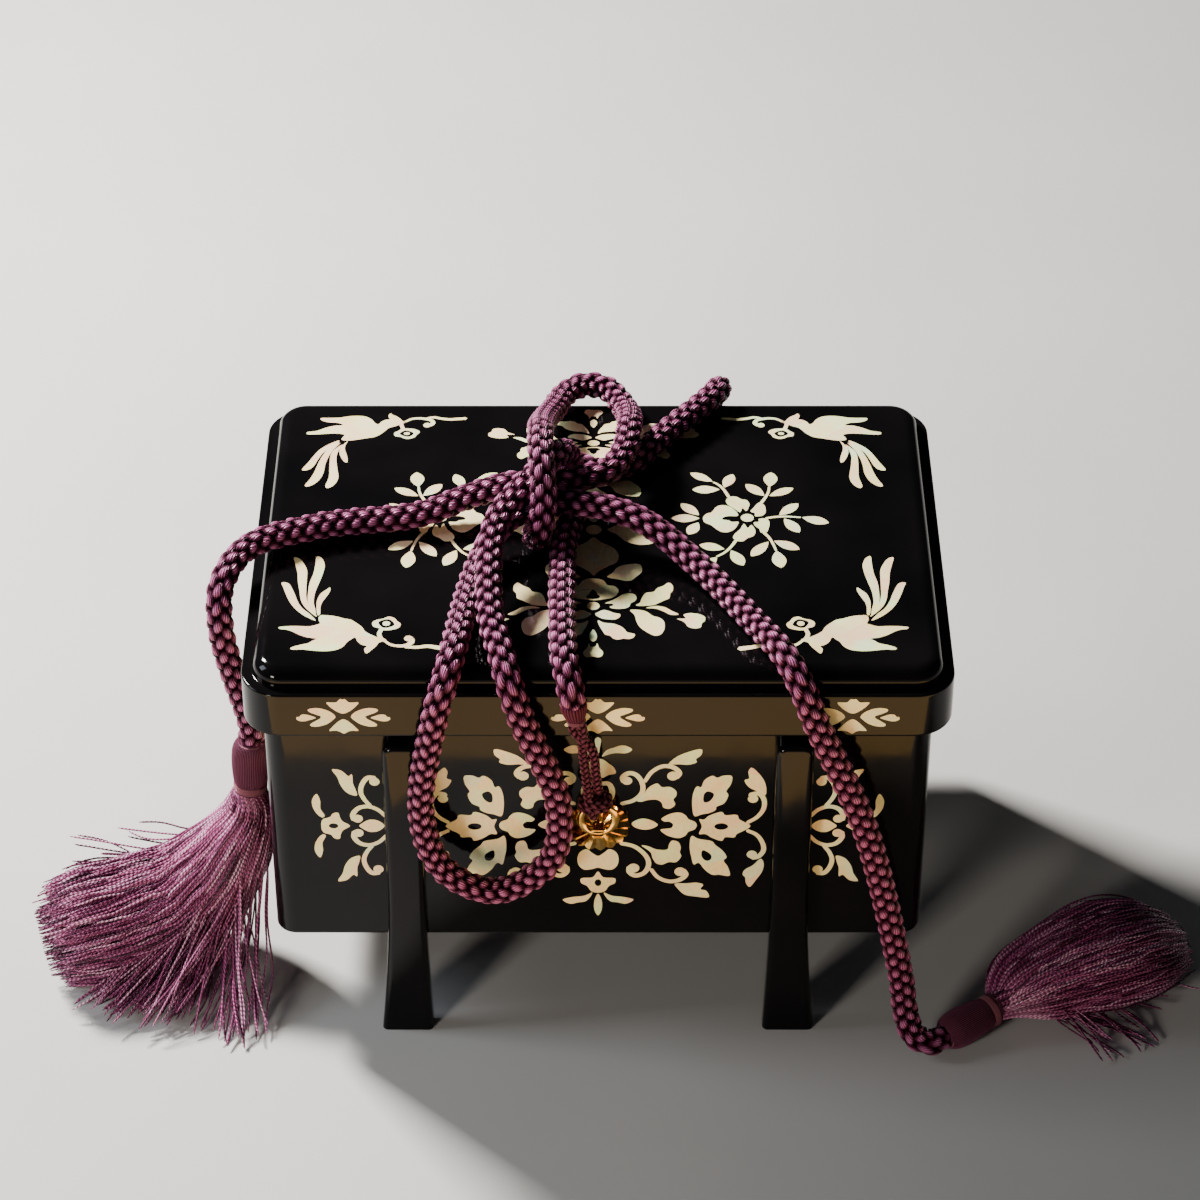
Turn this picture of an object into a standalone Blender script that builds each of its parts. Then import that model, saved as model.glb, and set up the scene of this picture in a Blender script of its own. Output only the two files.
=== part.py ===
"""A small lacquered chest on four legs, with a lift-off lid, a gilt ring fitting on its front and back,
and two braided cords that rise from the rings and are tied in a bow on the lid.

Metres, +Z up. The origin is on the floor under the middle of the chest, and the front faces -Y."""

import math

import bmesh
import bpy
import numpy as np
from mathutils import Matrix, Vector

MM = 0.001

# Lid
LID_WIDTH = 0.242
LID_DEPTH = 0.167
LID_CORNER = 0.014
LID_WALL = 0.0059
LID_TOP_WALL = 0.005
RIM_BOTTOM = 0.138
RIM_HEIGHT = 0.018
LEDGE = 0.004
RAISED_HEIGHT = 0.007
SHOULDER = 0.0052
LID_EDGE_ROUND = 0.0007

# Chest
LID_PLAY = 0.0006
SEAT_GAP = 0.0003
BODY_BOTTOM = 0.041
BODY_WALL = 0.0045
BODY_FLOOR = 0.005
BODY_EDGE_ROUND = 0.0012

# Legs
LEG_WIDTH = 0.013
LEG_THICKNESS = 0.0062
LEG_DROP_UNDER_RIM = 0.005
LEG_CENTRE = 0.0673
LEG_TOP_ROUND = 0.004
FOOT_FLARE_OUT = 0.0039
FOOT_FLARE_IN = 0.0016
FLARE_HEIGHT = 0.066
LEG_EDGE_ROUND = 0.0022
PIECE_GAP = 0.0003

# Ring fittings
FITTING_HEIGHT = 0.0932
ROSETTE_RADIUS = 0.0103
ROSETTE_EDGE = 0.0009
ROSETTE_DOME = 0.0019
PETALS = 16
PETAL_SCALLOP = 0.0007
PETAL_RIDGE = 0.00055
POST_WIDTH = 0.0034
EYE_REACH = 0.0057
EYE_WALL = 0.001
EYE_PLAY = 0.0004
RING_RADIUS = 0.0064
RING_WIRE = 0.0011

# Cords
CORD_DIAMETER = 0.0098
TIE_DIAMETER = 0.0028
TIE_GAP = 0.0003
WHIPPING_LENGTH = 0.007
WHIPPING_NECK = 0.003
END_GAP = 0.0004
HEAD_LENGTH = 0.0225
HEAD_RADIUS = 0.0062
HEAD_NECK = 0.0044
CORD_SEAT = 0.0038
STRAIGHT_LEAD = 0.003

BOOL_OVER = 0.002
CORNER_STEPS = 7

# Routes in millimetres, along the middle of each cord, from the ring's end to the tassel's end.
FRONT_ROUTE = [
    (-8.2, -89.5, 157), (-8.9, -88.9, 161.4), (-10, -85.3, 165.6), (-11.3, -78.6, 168.4),
    (-11.6, -14, 168.4), (-8.5, 4, 168.4), (-8.8, 17, 170.5), (-10.5, 20.5, 180),
    (-14, 11.5, 188.2), (-20, 0, 189), (-27, -9.4, 187.6), (-35.5, -24, 182.8),
    (-36.5, -60, 173), (-32.5, -77, 168.8), (-29.6, -86, 163), (-26, -89.2, 151.5),
    (-13.5, -88.9, 112), (-17, -88.9, 86), (-35.5, -88.9, 72.6), (-53, -88.9, 82),
    (-60.5, -88.9, 107), (-54.3, -89.2, 153.5), (-51.6, -86, 163), (-49, -77, 168.6),
    (-41.5, -28, 168.4), (-33.5, -12, 174), (-22, -5.8, 178.5), (-8, -5.2, 178.8),
    (14, -12, 177), (34, -28, 169.5), (52, -57, 168.3), (63, -78, 168.4),
    (68.5, -86.8, 161.8), (73, -89.3, 150), (92, -89.1, 101), (107.5, -90, 32),
    (109.4, -92.4, 18.5), (112.6, -95.8, 9.8), (118.2, -97, 6.9), (124.2, -93.4, 6.8),
]
BACK_ROUTE = [
    (32, 88.9, 143.4), (38, 89.2, 151), (43.5, 87.3, 160.7), (44.5, 81.3, 167),
    (41.5, 74, 168.5), (22, 48, 168.3), (11, 33, 168.3), (1, 28, 168.3),
    (-9, 32, 168.3), (-19, 27, 168.3), (-22.5, 15, 168.3), (-21.8, 0, 168.4),
    (-21.8, -11.5, 168.9), (-20.4, -17.8, 176), (-18.8, -16.9, 187), (-19.2, -10.4, 196.7),
    (-20, -1, 199.6), (-20, 10, 198.2), (-20.3, 24, 190), (-19, 47, 177.5),
    (-16, 62, 171.5), (-12, 75, 169), (-4.5, 81, 168.8), (3.5, 78.5, 168.6),
    (9.5, 66, 169.2), (11.5, 51, 174.5), (11, 39, 178.8), (9.3, 26, 178.8),
    (3, 13.5, 178.6), (-8, 8.8, 178.9), (-20, 4.9, 178.7), (-31, 8, 177),
    (-46, 6, 173), (-62, 1, 169.3), (-98, -5, 168.4), (-122, -17, 168),
    (-130.2, -30, 162), (-130.7, -37.5, 147), (-122.9, -37, 104.6), (-123.1, -37, 97.2),
]
# The thin ties between the two whippings' ends, round the top of each ring.
FRONT_TIE_ROUTE = [
    (-5, -88.9, 137), (-3.2, -87.9, 124), (-2, -86.8, 112), (-1.6, -86.1, 107.3),
    (-1.5, -84.8, 103.6), (-1.2, -83, 102.7), (-0.6, -80.6, 104.4), (0.3, -80.2, 108),
    (1.5, -82.2, 112.5), (1.6, -86, 118.5), (0.2, -87.8, 126), (-2, -88.9, 137),
]
BACK_TIE_ROUTE = [
    (19, 88.7, 127.4), (10, 88, 118), (3.2, 87, 110.6), (1.9, 86.3, 107.4),
    (1.5, 84.8, 103.6), (1.2, 83, 102.7), (0.6, 80.6, 104.4), (0.3, 80.2, 108),
    (1.8, 82.8, 112.6), (7, 86.6, 119.4), (16.4, 88.6, 129.2),
]
# Skirts from below the head's neck: middle line in millimetres, with the radius there.
LEFT_SKIRT = [
    (-131, -37.8, 62, 9.5), (-141, -38.6, 48.5, 16), (-155, -39.2, 34, 21.5),
    (-172, -39.8, 25, 24.3), (-190, -40, 22.2, 21.6), (-204, -40, 15.5, 14.5),
]
RIGHT_SKIRT = [
    (152, -73, 9.5, 15), (167, -65, 11.4, 20.5), (184, -57, 12.6, 23.5),
    (200, -49, 11.5, 21), (212, -43.5, 8, 13.5),
]
RIGHT_SKIRT_FLATNESS = 0.5

# Sizes that follow
RIM_TOP = RIM_BOTTOM + RIM_HEIGHT
LID_TOP = RIM_TOP + RAISED_HEIGHT
BODY_INSET = LID_WALL + LID_PLAY
BODY_WIDTH = LID_WIDTH - 2 * BODY_INSET
BODY_DEPTH = LID_DEPTH - 2 * BODY_INSET
BODY_CORNER = LID_CORNER - BODY_INSET
SEAT = RIM_TOP - LID_TOP_WALL
BODY_TOP = SEAT - SEAT_GAP
LEG_TOP = RIM_BOTTOM - LEG_DROP_UNDER_RIM


def clear_scene():
    for obj in list(bpy.data.objects):
        bpy.data.objects.remove(obj)


def collection(name):
    made = bpy.data.collections.new(name)
    bpy.context.scene.collection.children.link(made)
    return made


def material(name, colour, roughness, metallic=0.0):
    made = bpy.data.materials.new(name)
    made.use_nodes = True
    shader = made.node_tree.nodes["Principled BSDF"]
    shader.inputs["Base Color"].default_value = (*colour, 1)
    shader.inputs["Roughness"].default_value = roughness
    shader.inputs["Metallic"].default_value = metallic
    return made


def place(obj, group, finish=None):
    for owner in list(obj.users_collection):
        owner.objects.unlink(obj)
    group.objects.link(obj)
    if finish:
        obj.data.materials.clear()
        obj.data.materials.append(finish)
    return obj


def as_mesh(obj):
    """The evaluated curve as a mesh object, with its caps welded and each flat side one face."""
    bpy.context.view_layer.update()
    graph = bpy.context.evaluated_depsgraph_get()
    mesh = bpy.data.meshes.new_from_object(obj.evaluated_get(graph))
    work = bmesh.new()
    work.from_mesh(mesh)
    bmesh.ops.remove_doubles(work, verts=work.verts, dist=1e-6)
    bmesh.ops.dissolve_limit(work, angle_limit=0.001, verts=work.verts, edges=work.edges)
    work.to_mesh(mesh)
    work.free()
    made = bpy.data.objects.new(obj.name + "_mesh", mesh)
    made.matrix_world = obj.matrix_world.copy()
    name = obj.name
    bpy.data.objects.remove(obj)
    made.name = name
    bpy.context.scene.collection.objects.link(made)
    return made


def smooth(obj, angle=35):
    obj.data.shade_smooth()
    obj.data.set_sharp_from_angle(angle=math.radians(angle))
    return obj


def cutter(obj):
    obj.hide_render = True
    obj.display_type = "WIRE"
    return place(obj, cutters)


def boolean(obj, other, operation="DIFFERENCE"):
    modifier = obj.modifiers.new(operation.title(), "BOOLEAN")
    modifier.operation = operation
    modifier.solver = "EXACT"
    modifier.object = other


def bevel(obj, width, segments, limit="ANGLE"):
    modifier = obj.modifiers.new("Rounded edges", "BEVEL")
    modifier.width = width
    modifier.segments = segments
    modifier.limit_method = limit
    modifier.angle_limit = math.radians(40)
    return modifier


def flat_curve(name, points, thickness):
    """A filled outline in the XY plane, with its thickness centred on it."""
    data = bpy.data.curves.new(name, "CURVE")
    data.dimensions = "2D"
    data.fill_mode = "BOTH"
    data.extrude = thickness / 2
    spline = data.splines.new("POLY")
    spline.points.add(len(points) - 1)
    for point, (x, y) in zip(spline.points, points):
        point.co = (x, y, 0, 1)
    spline.use_cyclic_u = True
    obj = bpy.data.objects.new(name, data)
    bpy.context.scene.collection.objects.link(obj)
    return obj


def arc(centre, radius, start, end, steps=CORNER_STEPS):
    turns = np.radians(np.linspace(start, end, steps + 1))
    return [(centre[0] + radius * math.cos(t), centre[1] + radius * math.sin(t)) for t in turns]


def rounded_rectangle(width, depth, radius):
    x, y = width / 2 - radius, depth / 2 - radius
    corners = ((x, y, 0), (-x, y, 90), (-x, -y, 180), (x, -y, 270))
    return [p for cx, cy, a in corners for p in arc((cx, cy), radius, a, a + 90)]


def slab(name, inset, bottom, top):
    """A block with the lid's plan, drawn in by inset, between two heights."""
    outline = rounded_rectangle(
        LID_WIDTH - 2 * inset, LID_DEPTH - 2 * inset, max(LID_CORNER - inset, 0.0015)
    )
    made = as_mesh(flat_curve(name, outline, top - bottom))
    made.data.transform(Matrix.Translation((0, 0, (top + bottom) / 2)))
    return made


def make_lid():
    """A rim, a narrow ledge and a raised top with round shoulders, hollow below with the same steps."""
    lid = place(slab("lid", 0, RIM_BOTTOM, RIM_TOP), parts, lacquer)
    raised = cutter(slab("lid_raised_top", LEDGE, LID_TOP - 2.3 * SHOULDER, LID_TOP))
    bevel(raised, SHOULDER, 5)
    boolean(lid, raised, "UNION")
    bevel(lid, LID_EDGE_ROUND, 2)
    rim_hollow = cutter(slab("lid_rim_hollow", LID_WALL, RIM_BOTTOM - BOOL_OVER, SEAT))
    boolean(lid, rim_hollow)
    top_hollow = cutter(
        slab("lid_top_hollow", LEDGE + LID_WALL, SEAT - BOOL_OVER, LID_TOP - LID_TOP_WALL)
    )
    boolean(lid, top_hollow)
    return smooth(lid)


def make_body():
    body = place(slab("chest_body", BODY_INSET, BODY_BOTTOM, BODY_TOP), parts, lacquer)
    bevel(body, BODY_EDGE_ROUND, 2)
    inset = BODY_INSET + BODY_WALL
    hollow = cutter(
        slab("chest_hollow", inset, BODY_BOTTOM + BODY_FLOOR, BODY_TOP + BOOL_OVER)
    )
    boolean(body, hollow)
    return smooth(body)


def flare(height):
    """The share of the foot's flare at a height: none above FLARE_HEIGHT, all of it on the floor."""
    return max(0.0, 1 - height / FLARE_HEIGHT) ** 1.7


def leg_outline():
    """A leg seen from the front, for the right-hand side: +X is its outer edge."""
    half = LEG_WIDTH / 2
    heights = np.linspace(0, FLARE_HEIGHT, 8)
    outer = [(half + FOOT_FLARE_OUT * flare(h), h) for h in heights]
    inner = [(-half - FOOT_FLARE_IN * flare(h), h) for h in heights[::-1]]
    inside = half - LEG_TOP_ROUND
    top = arc((inside, LEG_TOP - LEG_TOP_ROUND), LEG_TOP_ROUND, 0, 90, 4)
    top += arc((-inside, LEG_TOP - LEG_TOP_ROUND), LEG_TOP_ROUND, 90, 180, 4)
    return outer + top + inner


def make_leg(name, side, face):
    """side is -1 left or 1 right; face is -1 front or 1 back. The long edges of the outer face are rounded."""
    leg = as_mesh(flat_curve(name, leg_outline(), LEG_THICKNESS))
    work = bmesh.new()
    work.from_mesh(leg.data)
    weight = work.edges.layers.float.new("bevel_weight_edge")
    for edge in work.edges:
        front = all(v.co.z > LEG_THICKNESS * 0.4 for v in edge.verts)
        floor = all(v.co.y < 1e-6 for v in edge.verts)
        side_edge = len(edge.link_faces) == 2 and edge.calc_face_angle(0) > 1
        edge[weight] = 1.0 if front and side_edge and not floor else 0.0
    stand = Matrix(((side, 0, 0, 0), (0, 0, face, 0), (0, 1, 0, 0), (0, 0, 0, 1)))
    bmesh.ops.transform(work, matrix=stand, verts=work.verts)
    bmesh.ops.recalc_face_normals(work, faces=work.faces)
    work.to_mesh(leg.data)
    work.free()
    leg.location = (
        side * LEG_CENTRE,
        face * (BODY_DEPTH / 2 + PIECE_GAP + LEG_THICKNESS / 2),
        0,
    )
    bevel(leg, LEG_EDGE_ROUND, 3, "WEIGHT")
    return smooth(place(leg, parts, lacquer))


def make_ring_plate(name, face):
    """A fluted rosette with a square post at its centre, whose eye runs from side to side."""
    bpy.ops.mesh.primitive_cylinder_add(vertices=PETALS * 4, radius=1, depth=1, end_fill_type="TRIFAN")
    plate = place(bpy.context.object, parts, gilt)
    plate.name = name
    work = bmesh.new()
    work.from_mesh(plate.data)
    front = [f for f in work.faces if f.normal.z > 0.9]
    spokes = {e for f in front for e in f.edges if min(v.co.xy.length for v in e.verts) < 0.1}
    bmesh.ops.subdivide_edges(work, edges=list(spokes), cuts=3)
    for v in work.verts:
        share = v.co.xy.length
        turn = math.atan2(v.co.y, v.co.x)
        ridge = abs(math.cos(PETALS * turn / 2))
        radius = ROSETTE_RADIUS - PETAL_SCALLOP * (1 - ridge) * share**4
        height = 0
        if v.co.z > 0:
            height = ROSETTE_EDGE + ROSETTE_DOME * (1 - share**2.4)
            height += PETAL_RIDGE * ridge * min(1, share * 2)
        v.co = (v.co.x * radius, v.co.y * radius, height)
    work.to_mesh(plate.data)
    work.free()
    tip = EYE_REACH + RING_WIRE + EYE_PLAY + EYE_WALL
    bpy.ops.mesh.primitive_cube_add(size=1)
    post = cutter(bpy.context.object)
    post.name = name + "_post"
    post.data.transform(Matrix.Diagonal((POST_WIDTH, POST_WIDTH, tip - ROSETTE_EDGE / 2, 1)))
    post.data.transform(Matrix.Translation((0, 0, (tip + ROSETTE_EDGE / 2) / 2)))
    bpy.ops.mesh.primitive_cylinder_add(vertices=20, radius=RING_WIRE + EYE_PLAY, depth=POST_WIDTH * 2)
    eye = cutter(bpy.context.object)
    eye.name = name + "_eye"
    eye.data.transform(Matrix.Rotation(math.radians(90), 4, "Y"))
    eye.data.transform(Matrix.Translation((0, 0, EYE_REACH)))
    bevel(post, POST_WIDTH * 0.12, 2)
    boolean(post, eye)
    boolean(plate, post, "UNION")
    turn = Matrix.Rotation(math.radians(-90 * face), 4, "X")
    seat = Matrix.Translation((0, face * (BODY_DEPTH / 2 + PIECE_GAP), FITTING_HEIGHT))
    for obj in (plate, post, eye):
        obj.matrix_world = seat @ turn
    return smooth(plate, 25)


def make_ring(name, face):
    bpy.ops.mesh.primitive_torus_add(
        major_radius=RING_RADIUS, minor_radius=RING_WIRE, major_segments=32, minor_segments=8
    )
    ring = place(bpy.context.object, parts, gilt)
    ring.name = name
    ring.rotation_euler = (math.radians(90), 0, 0)
    ring.location = (
        0,
        face * (BODY_DEPTH / 2 + PIECE_GAP + EYE_REACH),
        FITTING_HEIGHT + RING_RADIUS,
    )
    return smooth(ring)


def smooth_line(route, samples):
    """Points on a smooth curve through the route, samples to a stretch, the ends included."""
    points = [np.array(p, float) * MM for p in route]
    points = [2 * points[0] - points[1], *points, 2 * points[-1] - points[-2]]
    line = []
    for a, b, c, d in zip(points, points[1:], points[2:], points[3:]):
        ab, bc, cd = (math.sqrt(np.linalg.norm((q - p)[:3])) for p, q in ((a, b), (b, c), (c, d)))
        start = bc * ((b - a) / ab - (c - a) / (ab + bc)) + (c - b)
        end = bc * ((d - c) / cd - (d - b) / (bc + cd)) + (c - b)
        for t in np.arange(samples) / samples:
            line.append(
                b * (2 * t**3 - 3 * t**2 + 1) + start * (t**3 - 2 * t**2 + t)
                + c * (3 * t**2 - 2 * t**3) + end * (t**3 - t**2)
            )
    return [*line, points[-2]]


def make_tube(name, line, radii, finish, sides=2):
    """A round tube along a line of points, with a radius at each."""
    data = bpy.data.curves.new(name, "CURVE")
    data.dimensions = "3D"
    data.bevel_depth = 1
    data.bevel_resolution = sides
    data.use_fill_caps = True
    data.use_radius = True
    spline = data.splines.new("POLY")
    spline.points.add(len(line) - 1)
    for point, co, radius in zip(spline.points, line, radii):
        point.co = (*co[:3], 1)
        point.radius = radius
    obj = bpy.data.objects.new(name, data)
    return place(obj, parts, finish)


def make_cord(name, route):
    line = smooth_line(route, 2)
    make_tube(name, line, [CORD_DIAMETER / 2] * len(line), silk)
    return line


def end_of(line, at_start):
    """The end point of a line, and the direction in which it leaves."""
    end, before = (line[0], line[1]) if at_start else (line[-1], line[-2])
    return Vector(end), (Vector(end) - Vector(before)).normalized()


def turned(name, profile, top, axis, finish):
    """A turned piece whose axis starts at top. The profile is (radius, distance from top)."""
    mesh = bpy.data.meshes.new(name)
    work = bmesh.new()
    verts = [work.verts.new((radius, 0, -down)) for radius, down in profile]
    for a, b in zip(verts, verts[1:]):
        work.edges.new((a, b))
    work.to_mesh(mesh)
    work.free()
    obj = place(bpy.data.objects.new(name, mesh), parts, finish)
    screw = obj.modifiers.new("Turned", "SCREW")
    screw.steps = screw.render_steps = 20
    screw.use_merge_vertices = True
    screw.merge_threshold = 0.00001
    obj.rotation_mode = "QUATERNION"
    obj.rotation_quaternion = (-axis).to_track_quat("Z", "Y")
    obj.location = top
    obj.data.shade_smooth()
    return obj


def make_whipping(name, cord):
    """The bound end of a cord, which narrows down to its two thin ties. Returns where the ties start."""
    end, out = end_of(cord, True)
    radius, neck, long = CORD_DIAMETER / 2, WHIPPING_NECK, WHIPPING_LENGTH
    profile = [
        (0, 0), (radius * 0.93, 0), (radius * 0.97, long * 0.12), (radius * 0.84, long * 0.5),
        (neck * 1.12, long * 0.8), (neck, long * 0.88), (neck * 1.05, long * 0.96), (neck * 0.8, long),
        (0, long),
    ]
    turned(name, profile, end + out * END_GAP, out, silk)
    tip = end + out * (long + 2 * END_GAP)
    across = out.cross(Vector((0, 1, 0))).normalized() * (TIE_DIAMETER + TIE_GAP) / 2
    return [(tip + side * across, tip + side * across + out * STRAIGHT_LEAD) for side in (1, -1)]


def make_tie(name, ends, route):
    """The fine cord from one end of the whipping, round the ring, and back to the other end."""
    first, last = sorted(ends, key=lambda end: math.dist(end[0] / MM, route[0]))
    middle = smooth_line([tuple(first[1] / MM), *route, tuple(last[1] / MM)], 2)
    line = [first[0], *middle, last[0]]
    make_tube(name, line, [TIE_DIAMETER / 2] * len(line), silk)


def make_tassel(side, cord, route, flatness=1.0):
    """A bound, bell-shaped head, and a soft skirt of threads that flatness presses towards the floor."""
    end, axis = end_of(cord, False)
    long, radius, neck = HEAD_LENGTH, HEAD_RADIUS, HEAD_NECK
    profile = [
        (0, 0), (CORD_SEAT, 0), (radius * 0.84, long * 0.1), (radius * 0.97, long * 0.26),
        (radius, long * 0.48), (radius * 0.96, long * 0.68), (neck * 1.08, long * 0.78),
        (neck, long * 0.84), (neck * 1.1, long * 0.9), (neck * 1.1, long), (0, long),
    ]
    turned(f"tassel_head_{side}", profile, end + axis * END_GAP, axis, silk)
    start = (end + axis * (long + 2 * END_GAP)) / MM
    lead = start + axis * STRAIGHT_LEAD / MM
    line = smooth_line([(*lead, neck * 1.25 / MM), *route], 2)
    line = [np.array((*start, neck * 1.1 / MM)) * MM, *line]
    raised = [(x, y, z / flatness) for x, y, z, _ in line]
    skirt = make_tube(f"tassel_skirt_{side}", raised, [p[3] for p in line], threads, 3)
    skirt = as_mesh(skirt)
    skirt.data.transform(Matrix.Diagonal((1, 1, flatness, 1)))
    smooth(place(skirt, parts, threads))


clear_scene()
parts = collection("lacquer_keepsake_box")
cutters = collection("cutters")
lacquer = material("black_lacquer", (0.006, 0.006, 0.008), 0.12)
gilt = material("gilt_brass", (0.83, 0.56, 0.19), 0.25, 1.0)
silk = material("plum_silk", (0.23, 0.06, 0.12), 0.6)
threads = material("tassel_silk", (0.33, 0.11, 0.22), 0.7)

make_body()
make_lid()
for face, face_name in ((-1, "front"), (1, "back")):
    for side, side_name in ((-1, "left"), (1, "right")):
        make_leg(f"leg_{face_name}_{side_name}", side, face)
    make_ring_plate(f"{face_name}_ring_plate", face)
    make_ring(f"{face_name}_ring", face)
front_cord = make_cord("cord_front", FRONT_ROUTE)
back_cord = make_cord("cord_back", BACK_ROUTE)
make_tie("front_ring_tie", make_whipping("front_whipping", front_cord), FRONT_TIE_ROUTE)
make_tie("back_ring_tie", make_whipping("back_whipping", back_cord), BACK_TIE_ROUTE)
make_tassel("left", back_cord, LEFT_SKIRT)
make_tassel("right", front_cord, RIGHT_SKIRT, RIGHT_SKIRT_FLATNESS)
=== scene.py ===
"""The looks of the lacquer keepsake box: lacquer, shell inlay, gilt fittings, braided cords and tassels."""

import math

import bmesh
import bpy
import numpy as np
from mathutils import Matrix, Vector
from mathutils.geometry import tessellate_polygon


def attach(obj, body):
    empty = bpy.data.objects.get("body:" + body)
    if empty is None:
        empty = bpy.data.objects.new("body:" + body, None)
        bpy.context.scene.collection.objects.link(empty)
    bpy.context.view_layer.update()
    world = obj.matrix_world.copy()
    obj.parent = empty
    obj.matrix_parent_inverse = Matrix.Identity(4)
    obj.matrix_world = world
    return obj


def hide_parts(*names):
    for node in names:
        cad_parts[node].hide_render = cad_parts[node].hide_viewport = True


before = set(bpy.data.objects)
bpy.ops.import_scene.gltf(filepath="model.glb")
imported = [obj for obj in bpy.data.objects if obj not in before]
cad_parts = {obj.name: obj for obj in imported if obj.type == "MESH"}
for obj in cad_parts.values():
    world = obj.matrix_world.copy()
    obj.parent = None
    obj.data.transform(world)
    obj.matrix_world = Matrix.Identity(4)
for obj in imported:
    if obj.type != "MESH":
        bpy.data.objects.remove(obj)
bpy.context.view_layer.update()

MM = 0.001

# Sizes that the solids share, in millimetres
LID_WIDTH, LID_DEPTH, LID_CORNER = 242.0, 167.0, 14.0
LID_WALL, LID_TOP_WALL = 5.9, 5.0
RIM_BOTTOM, RIM_TOP, LID_TOP = 138.0, 156.0, 163.0
LEDGE, SHOULDER = 4.0, 5.2
BODY_INSET, BODY_WALL, BODY_FLOOR = 6.5, 4.5, 5.0
BODY_BOTTOM, BODY_TOP = 41.0, 150.7
LID_STEP = 151.0  # where the lid's wall gets thicker inside
FITTING_HEIGHT, RING_RADIUS, RING_WIRE = 93.2, 6.4, 1.1
CORD_DIAMETER, TIE_DIAMETER = 9.8, 2.8
LEG_PLACE, LEG_TOP, LEG_THICK = 67.3, 133.0, 6.2
MOUNT_FACE = LID_DEPTH / 2 - BODY_INSET + 0.3  # the inner faces of the legs and the rosettes

# Sizes that only the scene has, in millimetres
TIE_BRAID = TIE_DIAMETER * 1.28
PLATE_RADIUS, EYE_REACH = 11.0, 4.4
POST_WIDTH, POST_LENGTH = 3.9, 4.2
FLUSH, INLAY_STEP = 0.03, 0.012  # the inlay's height over the lacquer, and between neighbours
THREAD_PLY = 0.38  # turns of the tassel threads' two plies in a millimetre

FRONT_ROUTE = [
    (-8.2, -89.5, 157), (-8.9, -88.9, 161.4), (-10, -85.3, 165.6), (-11.3, -78.6, 168.4),
    (-11.6, -14, 168.4), (-8.5, 4, 168.4), (-8.8, 17, 170.5), (-10.5, 20.5, 180),
    (-14, 11.5, 188.2), (-20, 0, 189), (-27, -9.4, 187.6), (-35.5, -24, 182.8),
    (-36.5, -60, 173), (-32.5, -77, 168.8), (-29.6, -86, 163), (-26, -89.2, 151.5),
    (-13.5, -88.9, 112), (-17, -88.9, 86), (-35.5, -88.9, 72.6), (-53, -88.9, 82),
    (-60.5, -88.9, 107), (-54.3, -89.2, 153.5), (-51.6, -86, 163), (-49, -77, 168.6),
    (-41.5, -28, 168.4), (-33.5, -12, 174), (-22, -5.8, 178.5), (-8, -5.2, 178.8),
    (14, -12, 177), (34, -28, 169.5), (52, -57, 168.3), (63, -78, 168.4),
    (68.5, -86.8, 161.8), (73, -89.3, 150), (92, -89.1, 101), (107.5, -90, 32),
    (109.4, -92.4, 18.5), (112.6, -95.8, 9.8), (118.2, -97, 6.9), (124.2, -93.4, 6.8),
]
BACK_ROUTE = [
    (32, 88.9, 143.4), (38, 89.2, 151), (43.5, 87.3, 160.7), (44.5, 81.3, 167),
    (41.5, 74, 168.5), (22, 48, 168.3), (11, 33, 168.3), (1, 28, 168.3),
    (-9, 32, 168.3), (-19, 27, 168.3), (-22.5, 15, 168.3), (-21.8, 0, 168.4),
    (-21.8, -11.5, 168.9), (-20.4, -17.8, 176), (-18.8, -16.9, 187), (-19.2, -10.4, 196.7),
    (-20, -1, 199.6), (-20, 10, 198.2), (-20.3, 24, 190), (-19, 47, 177.5),
    (-16, 62, 171.5), (-12, 75, 169), (-4.5, 81, 168.8), (3.5, 78.5, 168.6),
    (9.5, 66, 169.2), (11.5, 51, 174.5), (11, 39, 178.8), (9.3, 26, 178.8),
    (3, 13.5, 178.6), (-8, 8.8, 178.9), (-20, 4.9, 178.7), (-31, 8, 177),
    (-46, 6, 173), (-62, 1, 169.3), (-98, -5, 168.4), (-122, -17, 168),
    (-130.2, -30, 162), (-130.7, -37.5, 147), (-122.9, -37, 104.6), (-123.1, -37, 97.2),
]
FRONT_TIE_ROUTE = [
    (-5.2, -88.9, 137), (-4, -88, 124), (-3.2, -87.2, 113), (-2.4, -86.3, 107.3),
    (-1.5, -84.8, 103.6), (-1.2, -83, 102.7), (-0.8, -80.6, 104.4), (-0.4, -80.2, 108),
    (0, -82.4, 112.5), (0, -86.6, 118), (-0.7, -87.9, 125), (-2, -88.9, 137),
]
BACK_TIE_ROUTE = [
    (19, 88.7, 127.4), (10, 88, 118), (3.2, 87, 110.6), (1.9, 86.3, 107.4),
    (1.5, 84.8, 103.6), (1.2, 83, 102.7), (0.6, 80.6, 104.4), (0.3, 80.2, 108),
    (1.8, 82.8, 112.6), (7, 86.6, 119.4), (16.4, 88.6, 129.2),
]


# Materials

def srgb(r, g, b):
    return tuple((c / 255 / 12.92) if c <= 10 else ((c / 255 + 0.055) / 1.055) ** 2.4 for c in (r, g, b))


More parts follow.
